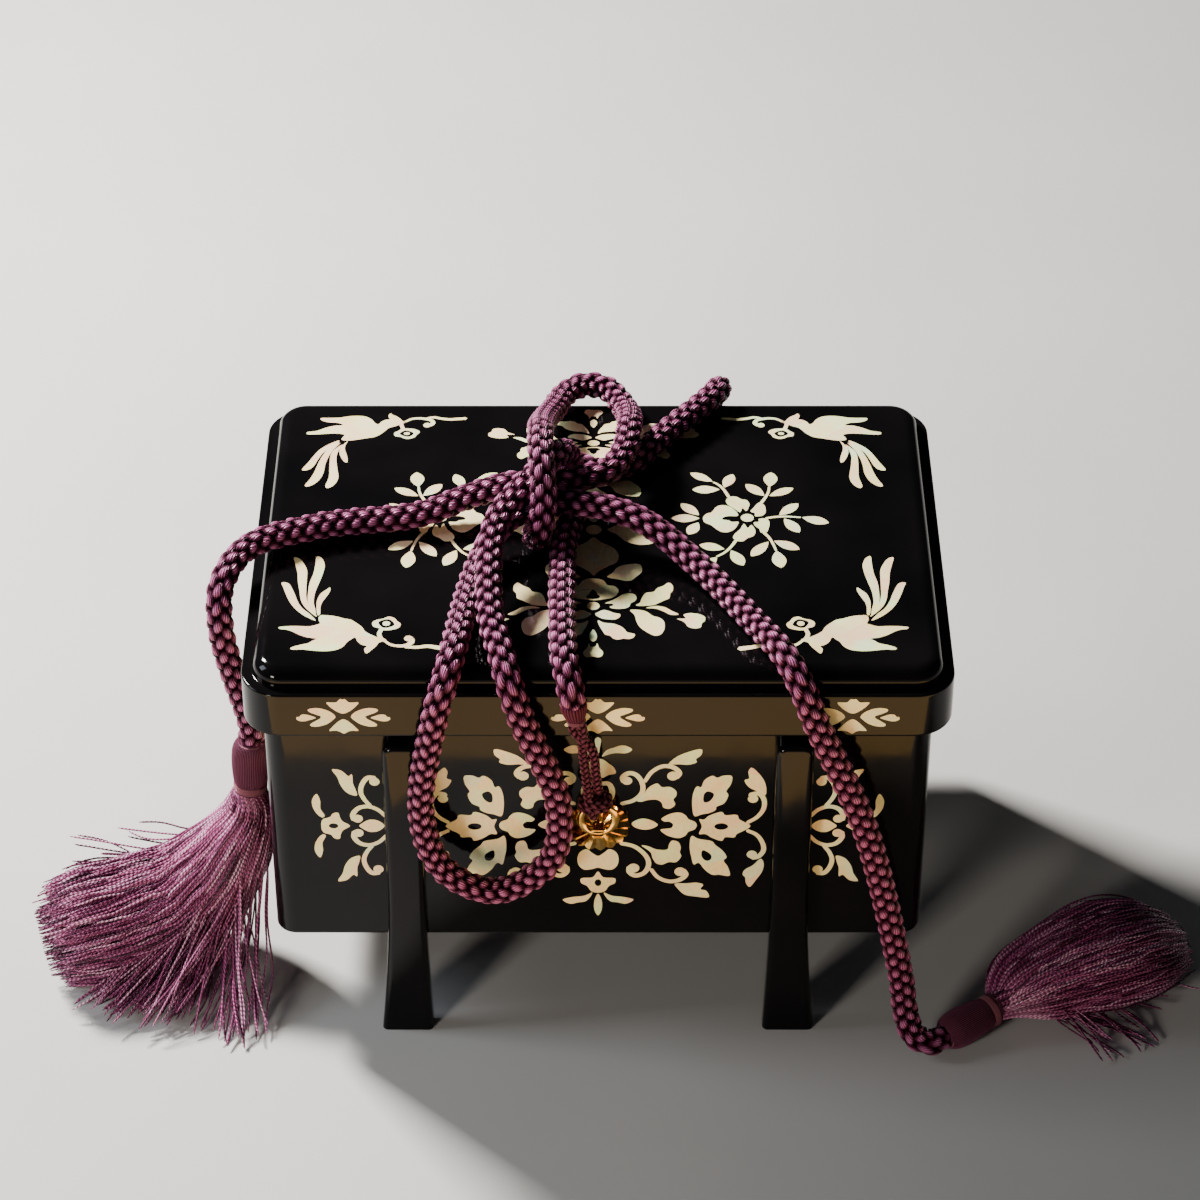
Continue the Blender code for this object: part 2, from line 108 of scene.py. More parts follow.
class Nodes:
    """A material's node tree, with short calls to add and link nodes."""

    def __init__(self, name, **sockets):
        self.material = bpy.data.materials.new(name)
        self.material.use_nodes = True
        self.tree = self.material.node_tree
        self.shader = self.tree.nodes["Principled BSDF"]
        self.surface(**sockets)

    def surface(self, **sockets):
        for socket, value in sockets.items():
            self.set(self.shader, socket.replace("_", " "), value)

    def set(self, node, socket, value):
        if isinstance(value, bpy.types.NodeSocket):
            self.tree.links.new(value, node.inputs[socket])
        else:
            if isinstance(value, tuple) and len(value) == 3 and node.inputs[socket].type == "RGBA":
                value = (*value, 1)
            node.inputs[socket].default_value = value

    def add(self, kind, settings=(), **sockets):
        node = self.tree.nodes.new("ShaderNode" + kind)
        for key, value in dict(settings).items():
            setattr(node, key, value)
        for socket, value in sockets.items():
            numbered = socket[0] == "i" and socket[1:].isdigit()
            self.set(node, int(socket[1:]) if numbered else socket.replace("_", " "), value)
        return node

    def noise(self, scale, detail, rough=0.5, vector=None):
        node = self.add("TexNoise", Scale=scale, Detail=detail, Roughness=rough)
        self.set(node, "Vector", vector or self.coords("Object"))
        return node.outputs["Fac"]

    def coords(self, kind):
        return self.add("TexCoord").outputs[kind]

    def math(self, operation, a, b=0.0):
        return self.add("Math", {"operation": operation}, i0=a, i1=b).outputs[0]

    def ramp(self, value, *stops):
        node = self.add("ValToRGB", Fac=value)
        elements = node.color_ramp.elements
        while len(elements) < len(stops):
            elements.new(0.5)
        for element, (place, colour) in zip(elements, stops):
            element.position = place
            element.color = (*colour, 1) if len(colour) == 3 else colour
        return node.outputs["Color"]

    def value_ramp(self, value, *stops):
        return self.ramp(value, *((place, (v, v, v)) for place, v in stops))

    def mix(self, factor, a, b, blend="MIX"):
        node = self.add("Mix", {"data_type": "RGBA", "blend_type": blend})
        self.set(node, 0, factor)
        self.set(node, 6, a)
        self.set(node, 7, b)
        return node.outputs[2]

    def bump(self, height, strength, distance):
        node = self.add("Bump", Strength=strength, Distance=distance, Height=height)
        self.tree.links.new(node.outputs["Normal"], self.shader.inputs["Normal"])

    def attribute(self, name):
        return self.add("Attribute", {"attribute_name": name}).outputs["Fac"]


def lacquer_material():
    n = Nodes("black_urushi", IOR=1.42, Specular_IOR_Level=0.2)
    cloud = n.ramp(n.noise(18, 3), (0.3, (0.0016, 0.0015, 0.0018)), (0.75, (0.0045, 0.0038, 0.0042)))
    n.surface(Base_Color=cloud)
    n.surface(Roughness=n.value_ramp(n.noise(55, 4, 0.6), (0.35, 0.055), (0.7, 0.12)))
    n.bump(n.noise(70, 2), 0.05, 0.0003)
    return n.material


def inside_material():
    n = Nodes("inner_lacquer", IOR=1.5)
    brown = n.ramp(n.noise(30, 4), (0.3, (0.012, 0.007, 0.006)), (0.8, (0.022, 0.013, 0.01)))
    n.surface(Base_Color=brown)
    n.surface(Roughness=n.value_ramp(n.noise(120, 3), (0.3, 0.24), (0.8, 0.36)))
    n.bump(n.noise(260, 3), 0.12, 0.0004)
    return n.material


def shell_material():
    n = Nodes("mother_of_pearl", IOR=1.56, Coat_Weight=0.35, Coat_Roughness=0.06)
    cells = n.add("TexVoronoi", {"feature": "F1"}, Scale=95.0, Randomness=1.0)
    n.set(cells, "Vector", n.coords("Object"))
    tint = n.add("SeparateColor", Color=cells.outputs["Color"]).outputs[0]
    tone = n.ramp(
        tint, (0.0, srgb(255, 238, 184)), (0.25, srgb(255, 248, 206)), (0.45, srgb(240, 252, 200)),
        (0.6, srgb(255, 226, 200)), (0.8, srgb(255, 248, 208)), (1.0, srgb(228, 248, 220)),
    )
    streak = n.add("Mapping", Scale=(1.0, 0.16, 0.5), Rotation=(0, 0, 0.6))
    n.set(streak, "Vector", n.coords("Object"))
    grain = n.noise(620, 4, 0.6, streak.outputs["Vector"])
    sheen = n.ramp(
        n.noise(70, 2), (0.35, srgb(255, 252, 228)), (0.5, srgb(255, 236, 214)), (0.65, srgb(244, 255, 226)),
    )
    colour = n.mix(1.0, tone, sheen, "MULTIPLY")
    colour = n.mix(n.math("MULTIPLY", grain, 0.1), colour, (0.8, 0.62, 0.42))
    n.surface(Base_Color=colour)
    n.surface(Roughness=n.value_ramp(grain, (0.3, 0.2), (0.7, 0.34)))
    n.bump(grain, 0.08, 0.0002)
    return n.material


def gilt_material():
    n = Nodes("gilt", Metallic=1.0)
    wear = n.ramp(
        n.noise(380, 4, 0.6), (0.3, (0.56, 0.28, 0.05)), (0.6, (0.84, 0.5, 0.13)), (0.85, (0.96, 0.66, 0.25)),
    )
    n.surface(Base_Color=wear)
    n.surface(Roughness=n.value_ramp(n.noise(900, 3), (0.3, 0.1), (0.75, 0.2)))
    n.bump(n.noise(1500, 2), 0.04, 0.0002)
    return n.material


def silk_material(name, crease, middle, top, along_lumps, density):
    """Silk whose colour goes from crease to top with the height of each lump of its braid: painted shade
    in the creases, painted light on the lump tops, and the silk's own colour in between.

    Its fine threads, as many as the density says, run along each lump or else straight along the piece.
    """
    crease, middle, top = srgb(*crease), srgb(*middle), srgb(*top)
    n = Nodes(
        name, Sheen_Roughness=0.3, Sheen_Tint=srgb(235, 150, 185), IOR=1.5, Specular_Tint=srgb(255, 186, 218),
    )
    if along_lumps:
        lay = n.math("ADD", n.attribute("strand"), n.math("MULTIPLY", n.noise(420, 2), 0.35))
        fibre = n.math("MULTIPLY", n.math("ADD", n.math("SINE", n.math("MULTIPLY", lay, density)), 1.0), 0.5)
    else:
        threads = n.add("TexWave", {"wave_type": "BANDS", "bands_direction": "X"},
                        Scale=density, Distortion=1.2, Detail=2.0, Detail_Scale=1.5)
        n.set(threads, "Vector", n.coords("UV"))
        fibre = threads.outputs["Fac"]
    height = n.attribute("height")
    # Painted shade and light: the colour runs from the dark crease colour in the creases to the light top
    # colour on the tops.
    tone = n.ramp(height, (0.3, crease), (0.72, middle), (1.0, top))
    # Painted shade in the gaps between the fine threads, which are mixed towards the crease colour.
    between = n.math("SUBTRACT", 1.0, fibre)
    tone = n.mix(n.math("MULTIPLY", between, 0.7 if along_lumps else 0.5), tone, crease)
    tone = n.mix(n.math("MULTIPLY", n.noise(160, 3), 0.2), tone, middle)
    n.surface(Base_Color=tone)
    n.surface(Roughness=n.value_ramp(fibre, (0.0, 0.5), (1.0, 0.3)))
    # Painted shade as well: the reflection and the sheen fade out in the creases.
    n.surface(Specular_IOR_Level=n.value_ramp(height, (0.35, 0.0), (0.95, 1.0)))
    n.surface(Sheen_Weight=n.value_ramp(height, (0.4, 0.0), (1.0, 0.14)))
    n.bump(fibre, 0.9, 0.0004 if along_lumps else 0.0006)
    return n.material


def thread_material():
    n = Nodes(
        "tassel_threads", Sheen_Weight=0.1, Sheen_Roughness=0.35, Sheen_Tint=srgb(245, 180, 215), IOR=1.5,
    )
    wave = n.add(
        "TexWave", {"wave_type": "BANDS", "bands_direction": "DIAGONAL", "wave_profile": "SIN"}, Scale=1.0,
    )
    n.set(wave, "Vector", n.coords("UV"))
    ply = wave.outputs["Fac"]
    colour = n.ramp(
        n.attribute("tone"), (0.0, srgb(54, 6, 36)), (0.4, srgb(134, 40, 96)),
        (0.75, srgb(206, 108, 162)), (1.0, srgb(248, 186, 220)),
    )
    # Painted shade: the grooves between each thread's two plies are mixed towards dark plum.
    colour = n.mix(n.math("MULTIPLY", n.math("SUBTRACT", 1.0, ply), 0.85), colour, srgb(52, 4, 34))
    n.surface(Base_Color=colour)
    n.surface(Roughness=n.value_ramp(ply, (0.0, 0.55), (1.0, 0.3)))
    n.bump(ply, 0.6, 0.0003)
    return n.material


def floor_material():
    n = Nodes("pale_floor", Roughness=0.7)
    pale = n.ramp(n.noise(6, 3), (0.3, (0.53, 0.52, 0.5)), (0.7, (0.57, 0.56, 0.54)))
    n.surface(Base_Color=pale)
    return n.material


# Meshes

def add_mesh(name, verts, faces, material, attributes=None, uvs=None, smooth=True):
    """An object from points in metres and faces of one size each."""
    verts = np.asarray(verts, np.float32)
    mesh = bpy.data.meshes.new(name)
    mesh.vertices.add(len(verts))
    mesh.vertices.foreach_set("co", verts.reshape(-1))
    sizes = np.concatenate([np.full(len(f), f.shape[1]) for f in faces])
    loops = np.concatenate([f.reshape(-1) for f in faces]).astype(np.int32)
    mesh.loops.add(len(loops))
    mesh.loops.foreach_set("vertex_index", loops)
    mesh.polygons.add(len(sizes))
    mesh.polygons.foreach_set("loop_start", np.concatenate([[0], np.cumsum(sizes)[:-1]]).astype(np.int32))
    mesh.update(calc_edges=True)
    for key, values in (attributes or {}).items():
        layer = mesh.attributes.new(key, "FLOAT", "POINT")
        layer.data.foreach_set("value", np.asarray(values, np.float32))
    if uvs is not None:
        layer = mesh.uv_layers.new(name="map")
        layer.data.foreach_set("uv", np.asarray(uvs, np.float32).reshape(-1))
    if smooth:
        mesh.shade_smooth()
    obj = bpy.data.objects.new(name, mesh)
    bpy.context.scene.collection.objects.link(obj)
    mesh.materials.append(material)
    return obj


def unit(vectors, least=0.0):
    """The same directions at length 1. A small least keeps a length of nothing from failing."""
    return vectors / (np.linalg.norm(vectors, axis=-1, keepdims=True) + least)


def angles(count):
    return 2 * math.pi * np.arange(count) / count


def circle(turn, side, up):
    """Directions at each turn of a circle that lies across each point of a line."""
    return np.cos(turn)[:, None] * side[..., None, :] + np.sin(turn)[:, None] * up[..., None, :]


def distances(line):
    """How far along the line each point lies."""
    steps = np.linalg.norm(np.diff(line, axis=-2), axis=-1)
    return np.concatenate([np.zeros((*steps.shape[:-1], 1)), np.cumsum(steps, axis=-1)], axis=-1)


def ring_quads(*counts):
    """Numbers of the points of closed rings, of the next points round them, and the quads between rings."""
    index = np.arange(math.prod(counts)).reshape(counts)
    right = np.roll(index, -1, axis=-1)
    corners = [index[..., :-1, :], right[..., :-1, :], right[..., 1:, :], index[..., 1:, :]]
    return index, right, np.stack(corners, axis=-1).reshape(-1, 4)


def ring_map(across, width, along):
    """The map of those quads, across round each ring and along from ring to ring."""
    uv = np.empty((*along.shape[:-1], along.shape[-1] - 1, len(across), 4, 2))
    uv[..., 0, 0] = uv[..., 3, 0] = across
    uv[..., 1, 0] = uv[..., 2, 0] = across + width
    uv[..., 0, 1] = uv[..., 1, 1] = along[..., :-1, None]
    uv[..., 2, 1] = uv[..., 3, 1] = along[..., 1:, None]
    return uv.reshape(-1, 2)


def grid_mesh(name, grid, material, heights=None, tile=1.0, strand=None, caps=True):
    """A tube from rings of points in millimetres, closed at both ends by a point in their middle."""
    rows, cols = grid.shape[:2]
    index, right, quads = ring_quads(rows, cols)
    uv = ring_map(np.arange(cols) / cols * tile, tile / cols, distances(grid.mean(axis=1)))
    verts = grid.reshape(-1, 3) * MM
    faces = [quads]
    # The height attribute drives the silk's painted shade and light; pieces without heights take the top
    # colour all over.
    values = {"height": np.ones(rows * cols) if heights is None else heights.reshape(-1)}
    if strand is not None:
        values["strand"] = strand.reshape(-1)
    if caps:
        verts = np.concatenate([verts, grid[:1].mean(axis=1) * MM, grid[-1:].mean(axis=1) * MM])
        first, last = np.full(cols, rows * cols), np.full(cols, rows * cols + 1)
        faces.append(np.stack([right[0], index[0], first], axis=-1))
        faces.append(np.stack([index[-1], right[-1], last], axis=-1))
        uv = np.concatenate([uv, np.zeros((6 * cols, 2))])
        values = {key: np.concatenate([value, [0.5, 0.5]]) for key, value in values.items()}
    return add_mesh(name, verts, faces, material, values, uv)


def smooth_line(route, samples):
    """Points on a smooth curve through the route, samples to a stretch, the ends included."""
    points = [np.array(p, float) for p in route]
    points = [2 * points[0] - points[1], *points, 2 * points[-1] - points[-2]]
    line = []
    for a, b, c, d in zip(points, points[1:], points[2:], points[3:]):
        ab, bc, cd = (math.sqrt(np.linalg.norm((q - p)[:3])) for p, q in ((a, b), (b, c), (c, d)))
        start = bc * ((b - a) / ab - (c - a) / (ab + bc)) + (c - b)
        end = bc * ((d - c) / cd - (d - b) / (bc + cd)) + (c - b)
        for t in np.arange(samples) / samples:
            line.append(
                b * (2 * t**3 - 3 * t**2 + 1) + start * (t**3 - 2 * t**2 + t)
                + c * (3 * t**2 - 2 * t**3) + end * (t**3 - t**2)
            )
    return np.array([*line, points[-2]])


def resample(line, step):
    """The same line with points a step apart, and how far along it they lie."""
    along = distances(line[:, :3])
    places = np.linspace(0, along[-1], max(3, int(round(along[-1] / step)) + 1))
    return np.stack([np.interp(places, along, column) for column in line.T], axis=1), places


def frames(line):
    """Two directions across each point of the line, which turn no more than the line does."""
    tangents = unit(np.gradient(line[:, :3], axis=0))
    side = np.cross(tangents[0], (0.31, 0.2, 0.93))
    sides = []
    for t in tangents:
        side = unit(side - t * side.dot(t))
        sides.append(side)
    return np.array(sides), np.cross(tangents, sides)


def braid_heights(along, turn, radius, columns, pitch, lean):
    """Staggered round lumps: 0 in the creases to 1 at their tops, and each point's place across its lump."""
    long, wide = pitch * 0.47, 2 * math.pi * radius / columns * 0.72
    height = np.zeros((len(along), len(turn)))
    strand = np.zeros_like(height)
    for column in range(columns):
        across = (turn - 2 * math.pi * column / columns + math.pi) % (2 * math.pi) - math.pi
        across = across * radius
        tilt = lean if column % 2 else -lean
        down = along[:, None] - (column % 2) * pitch / 2 + tilt * across
        down = (down + pitch / 2) % pitch - pitch / 2
        for shift in (-pitch, 0, pitch):
            place = (down + shift) / long
            bump = 1 - place**2 - (across / (wide * (0.94 + 0.12 * place))) ** 2
            lump = np.sqrt(np.clip(bump, 0, 1)) * (0.86 + 0.2 * np.clip(place, -1, 1))
            thread = across * (1.25 - 0.35 * place) - 0.5 * tilt * long * place
            strand = np.where(lump > height, thread, strand)
            height = np.maximum(height, lump)
    return height / height.max(), strand


def braided(name, line, diameter, material, columns, pitch, depth, step, around, lean):
    """A braided cord as a mesh tube along a line. Returns the piece, its middle line and its length."""
    line, along = resample(line, step)
    turn = angles(around)
    height, strand = braid_heights(along, turn, diameter / 2, columns, pitch, lean)
    ends = np.clip(0.82 + along / diameter, 0, 1) * np.clip(0.82 + along[::-1] / diameter, 0, 1)
    reach = diameter / 2 * (1 - depth + depth * height) * ends[:, None]
    grid = line[:, None, :3] + reach[..., None] * circle(turn, *frames(line))
    # The lumps' heights also drive the silk's colour: painted shade in the creases, painted light on the
    # tops.
    piece = grid_mesh(name, grid, material, height, math.pi * diameter, strand)
    return piece, line * MM, along[-1] * MM


def turned(name, start, axis, profile, ridges, ridge_depth, material, around=120, tile=40.0):
    """A turned piece from start along its axis, with ridges for threads. Profile is (radius, distance)."""
    profile = smooth_line([(r, d, 0) for r, d in profile], 5)
    side = unit(np.cross(axis, (0.2, 1, 0.1)))
    turn = angles(around)
    ridge = np.abs(np.sin(turn * ridges / 2))
    radius = profile[:, :1] * (1 - ridge_depth * (1 - ridge))
    middle = start + axis * profile[:, 1][:, None, None]
    grid = middle + radius[..., None] * circle(turn, side, np.cross(axis, side))
    # The grooves between the ridges get low heights, so the silk's colour paints shade in them and light on
    # the ridges.
    heights = np.broadcast_to(0.25 + 0.75 * ridge, radius.shape)
    return grid_mesh(name, grid, material, heights, tile)


def coil(name, start, axis, radius, rise, rounds, wire):
    """A close winding of binding thread round an axis."""
    t = np.linspace(0, 1, int(rounds * 28))
    middle = start + axis * rise * t[:, None]
    side, up = frames(middle)
    angle = 2 * math.pi * rounds * t
    line = middle + radius * (np.cos(angle)[:, None] * side + np.sin(angle)[:, None] * up)
    line, along = resample(line, wire * 0.45)
    swell = wire / 2 * (1 + 0.08 * np.sin(along / wire * 4))
    grid = line[:, None] + swell[:, None, None] * circle(angles(8), *frames(line))
    return grid_mesh(name, grid, BINDING, tile=2.0)


def strands(name, lines, radius, tones):
    """Many thin threads in one piece, from their points in millimetres by thread and place."""
    count, points = lines.shape[:2]
    tangent = unit(np.gradient(lines, axis=1), 1e-9)
    side = unit(np.cross(tangent, (0.13, 0.35, 0.93)), 1e-9)
    reach = np.full(points, radius)
    reach[-1] *= 0.45
    verts = lines[:, :, None] + reach[:, None, None] * circle(angles(3), side, np.cross(tangent, side))
    verts[..., 2] = np.maximum(verts[..., 2], 0.15)
    quads = ring_quads(count, points, 3)[2]
    along = distances(lines) * THREAD_PLY + (np.arange(count) * 0.618 % 1)[:, None]
    uv = ring_map(np.arange(3) / 3 * 0.6, 0.2, along)
    tone = np.repeat(tones, points * 3)
    return add_mesh(name, verts.reshape(-1, 3) * MM, [quads], THREADS, {"tone": tone}, uv)


def solid_of_rings(name, rings):
    """A closed lacquer piece from rings of points in millimetres, with flat ends."""
    rings = np.array(rings)
    index, _, quads = ring_quads(*rings.shape[:2])
    obj = add_mesh(name, rings.reshape(-1, 3) * MM, [quads, index[:1, ::-1], index[-1:]], LACQUER)
    work = bmesh.new()
    work.from_mesh(obj.data)
    bmesh.ops.recalc_face_normals(work, faces=work.faces)
    work.to_mesh(obj.data)
    work.free()
    obj.data.set_sharp_from_angle(angle=math.radians(40))
    return ride("black_lacquer", obj)


def ride(slot, *pieces):
    """Puts the pieces on the only body; the slot is not used. Returns the first."""
    for piece in pieces:
        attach(piece, "root")
    return pieces[0]


# Camera, light and floor

def make_stage():
    camera = bpy.data.objects.new("camera", bpy.data.cameras.new("camera"))
    camera.location = (0.0007, -1.0833, 0.978)
    camera.rotation_euler = (math.radians(52), 0, 0)
    camera.data.lens = 115.5
    camera.data.sensor_width = 36
    bpy.context.scene.collection.objects.link(camera)
    bpy.context.scene.camera = camera
    world = bpy.data.worlds.new("studio")
    world.use_nodes = True
    background = world.node_tree.nodes["Background"]
    background.inputs["Color"].default_value = (0.86, 0.9, 1, 1)
    background.inputs["Strength"].default_value = 0.035
    bpy.context.scene.world = world
    for name, place, aim, size, energy, colour in (
        ("key", (-0.72, 0.62, 1.0), (0, 0, 0.12), (0.22, 0.22), 62, (1, 0.97, 0.93)),
        ("window", (-0.92, -0.05, 0.62), (0, 0, 0.14), (0.3, 0.45), 5.0, (0.82, 0.9, 1)),
        ("front", (-0.75, -1.05, 0.42), (0, 0, 0.1), (0.22, 0.22), 8, (1, 0.93, 0.84)),
        ("warm_card", (0, -0.345, 0.002), (0, -0.345, 1), (0.7, 0.25), 1.9, (1, 0.52, 0.08)),
    ):
        light = bpy.data.objects.new(name, bpy.data.lights.new(name, "AREA"))
        light.data.shape = "RECTANGLE"
        light.data.size, light.data.size_y = size
        light.data.energy = energy
        light.data.color = colour
        light.location = place
        light.rotation_euler = (Vector(aim) - Vector(place)).to_track_quat("-Z", "Y").to_euler()
        bpy.context.scene.collection.objects.link(light)
    corners = [(-4, -4, 0), (4, -4, 0), (4, 4, 0), (-4, 4, 0)]
    floor = add_mesh("floor", corners, [np.array([[0, 1, 2, 3]])], floor_material())


make_stage()

# Each silk's colours run crease, middle, top: the crease colour is painted shade, and on lumps and ridges the
# top colour is painted light. The core silk is dark all over, as painted shade inside the tassel.
SILK = silk_material("braided_silk", (6, 0, 2), (86, 12, 52), (232, 128, 188), True, 6.5)
FINE_SILK = silk_material("fine_braid", (10, 0, 3), (74, 10, 32), (170, 76, 104), True, 16.0)
GATHERED = silk_material("gathered_silk", (34, 0, 8), (96, 8, 36), (156, 48, 84), False, 1.0)
BOUND_SILK = silk_material("bound_silk", (40, 4, 20), (124, 36, 74), (216, 132, 170), False, 3.0)
BINDING = silk_material("binding_thread", (90, 30, 46), (166, 84, 100), (204, 126, 136), False, 2.0)
SHADED_CORE_SILK = silk_material("tassel_core", (40, 4, 24), (70, 14, 44), (84, 22, 56), False, 3.0)
THREADS = thread_material()
LACQUER = lacquer_material()
INSIDE = inside_material()
SHELL = shell_material()
GILT = gilt_material()


# Cords

def direction(line, at_start):
    """The way out of the line at its start or its end."""
    return unit(line[0] - line[1] if at_start else line[-1] - line[-2])


def make_whipping(name, line):
    """The thick cord's strands drawn together and bound, before its two thin ties start."""
    out = direction(line, True)
    start = line[0] - out * 0.6
    profile = [(4.4, 0), (4.6, 1.0), (4.35, 3.0), (3.7, 5.0), (3.05, 6.6), (2.9, 7.4), (2.3, 8.0)]
    hank = turned(name, start, out, profile, 26, 0.12, GATHERED)
    band = coil(name + "_band", start + out * 6.5, out, radius=3.0, rise=1.1, rounds=2.3, wire=0.5)
    ride("plum_silk", hank, band)
    return [hank, band], line[0] + out * 7.8


def make_tie(name, route, tip, out):
    """The fine braid from one side of the whipping's tip, through the ring and back to the other side."""
    across = unit(np.cross(out, (0, 1, 0))) * (TIE_DIAMETER + 0.3) / 2
    ends = (tip + across, tip - across)
    first, last = sorted(ends, key=lambda end: np.linalg.norm(end - np.array(route[0])))
    middle = smooth_line([first + out * 3, *route, last + out * 3], 12)
    line = np.concatenate([[first - out * 0.4], [first], middle, [last], [last - out * 0.4]])
    return braided(
        name, line, TIE_BRAID, FINE_SILK, columns=6, pitch=2.4, depth=0.36, step=0.24, around=30, lean=0.45,
    )


def make_ring_wrap(name, face):
    """Two turns of the fine braid round the tie's strands, where they pass round the top of the ring."""
    t = np.linspace(0, 1, 90)
    angle = math.radians(-130) + 2 * math.pi * 2.05 * t
    height = 112 - 3.3 * t + 0.25 * np.sin(2 * angle)
    line = np.stack([-1 + 4.5 * np.cos(angle), face * (85.2 - 3.4 * np.sin(angle)), height], axis=1)
    piece, _, _ = braided(
        name, line, 3.5, FINE_SILK, columns=6, pitch=2.6, depth=0.34, step=0.24, around=24, lean=0.5,
    )
    return [ride("plum_silk", piece)]


def make_head(name, line):
    """A bell of fine threads over the cord's end, with a pink binding at its neck."""
    axis = direction(line, False)
    start = line[-1] - axis * 0.5
    profile = [
        (3.0, 0), (5.2, 0.8), (6.5, 3.0), (6.95, 6.5), (6.9, 10.5), (6.6, 14.5),
        (6.2, 17.6), (5.7, 19.4), (5.6, 20), (5.9, 22.4), (6, 23.2),
    ]
    bell = turned(name, start, axis, profile, 64, 0.09, BOUND_SILK, 256, 64.0)
    collar = coil(name + "_collar", start + axis * 0.7, axis, radius=4.6, rise=1.6, rounds=3.1, wire=0.62)
    band = coil(name + "_band", start + axis * 19.2, axis, radius=5.8, rise=2.6, rounds=4.6, wire=0.64)
    ride("plum_silk", bell, collar, band)
    return [bell, collar, band], start + axis * 22.6, axis


def make_skirt(side_name, start, axis, route, flatness, seed, droop):
    """Threads that fall from the neck and fan out along the skirt's middle line, round a darker core
    that is painted shade for the inside of the skirt.

    The flatness is the skirt's height over its width, and droop is how far the threads' ends sink.
    """
    rng = np.random.default_rng(seed)
    path = smooth_line([(*(start + axis * 2.2), 6.2), *route], 10)
    path, along = resample(np.array([(*start, 5.6), *path]), 2.0)
    tangent = np.gradient(path[:, :3], axis=0)
    side = unit(np.cross(tangent, (0, 0, 1.0)), 1e-9)
    tangent = unit(tangent)
    up = np.cross(side, tangent)
    count, points = 1180, 26
    angle = rng.uniform(0, 2 * math.pi, count)
    outer = rng.random(count) < 0.72
    out = np.where(outer, rng.uniform(0.84, 1.02, count), rng.uniform(0.3, 0.88, count))
    length = rng.normal(1.02, 0.034, count).clip(0.86, 1.07) - 0.1 * out**3
    stray = rng.random(count) < 0.035
    length[stray] = rng.uniform(0.8, 1.03, stray.sum())
    t = np.linspace(0, 1, points)[None] * length[:, None]
    place = np.clip(t, 0, 1.03) * along[-1]
    centre, across, rise = (
        np.stack([np.interp(place, along, vectors[:, i]) for i in range(3)], axis=-1)
        for vectors in (path, side, up)
    )
    past = np.clip(place - along[-1], 0, None)[..., None] * tangent[-1]
    radius = np.interp(place, along, path[:, 3])
    wander = np.cumsum(rng.normal(0, 1, (count, points)), axis=1) * 0.05
    wander -= wander[:, :1]
    swirl = angle[:, None] + wander * 0.32
    wave = 0.8 * np.sin(t * rng.uniform(9, 24, (count, 1)) + rng.uniform(0, 6, (count, 1)))
    wave *= np.clip(t * 3, 0, 1)
    reach = radius * (out[:, None] + np.where(stray, 0.16, 0.0)[:, None] * t) + wave + 0.5 * wander * t
    lines = centre + past + reach[..., None] * (
        np.cos(swirl)[..., None] * across + flatness * np.sin(swirl)[..., None] * rise
    )
    lines[..., 2] -= droop * t**2
    lines[..., 2] = np.where(lines[..., 2] < 1.0, 0.6 + 0.35 * rng.random((count, 1)), lines[..., 2])
    # Painted shade: threads deep in the skirt are made darker; otherwise their tone differs at random.
    tones = (rng.normal(0.58, 0.26, count) - 0.3 * (out < 0.8)).clip(0, 1)
    name = "tassel_threads_" + side_name
    threads = strands(name, lines, 0.43, tones)
    # The core is dark as painted shade, filling the inside of the skirt.
    core = path[:, None, :3] + 0.74 * path[:, 3][:, None, None] * circle(angles(28), side, flatness * up)
    core[..., 2] = np.maximum(core[..., 2] - droop * (along / along[-1])[:, None] ** 2, 0.5)
    keep = int(len(path) * 0.93)
    body = grid_mesh(name + "_core", core[:keep], SHADED_CORE_SILK, tile=40.0)
    ride("tassel_silk", threads, body)
    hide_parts("tassel_skirt_" + side_name)
    return [threads, body], rng


def hanging_threads(name, rng, start, axis, ends, count, spread):
    """Threads that leave the neck along its axis and bend to ends strewn along a line on the floor."""
    target = smooth_line(ends, 12)
    pick = rng.uniform(0, len(target) - 1.001, count)
    low = pick.astype(int)
    end = target[low] + (target[low + 1] - target[low]) * (pick - low)[:, None]
    end = end + rng.normal(0, 1, (count, 3)) * spread
    end[:, 2] = np.abs(end[:, 2]) + 0.4
    angle = rng.uniform(0, 2 * math.pi, count)
    side = unit(np.cross(axis, (0, 1, 0)))
    ring = circle(angle, side, np.cross(axis, side))
    first = start + ring * 5.2
    reach = np.linalg.norm(end - first, axis=1)[:, None]
    bend = first + axis * reach * rng.uniform(0.35, 0.6, (count, 1)) + ring * rng.uniform(1, 5, (count, 1))
    lay = end + (bend - end) * 0.35 + rng.normal(0, 2.2, (count, 3))
    t = np.linspace(0, 1, 36)[None, :, None]
    lines = (
        first[:, None] * (1 - t) ** 3 + 3 * bend[:, None] * t * (1 - t) ** 2
        + 3 * lay[:, None] * t**2 * (1 - t) + end[:, None] * t**3
    )
    swing = rng.normal(0, 1, (count, 1, 3)) * (0.65, 0.65, 0.25)
    lines += swing * np.sin(t * rng.uniform(8, 17, (count, 1, 1)) + rng.uniform(0, 6, (count, 1, 1))) * t
    lines[..., 2] = np.maximum(lines[..., 2], 0.6)
    piece = strands(name, lines, 0.42, rng.normal(0.58, 0.26, count).clip(0, 1))
    return ride("tassel_silk", piece)


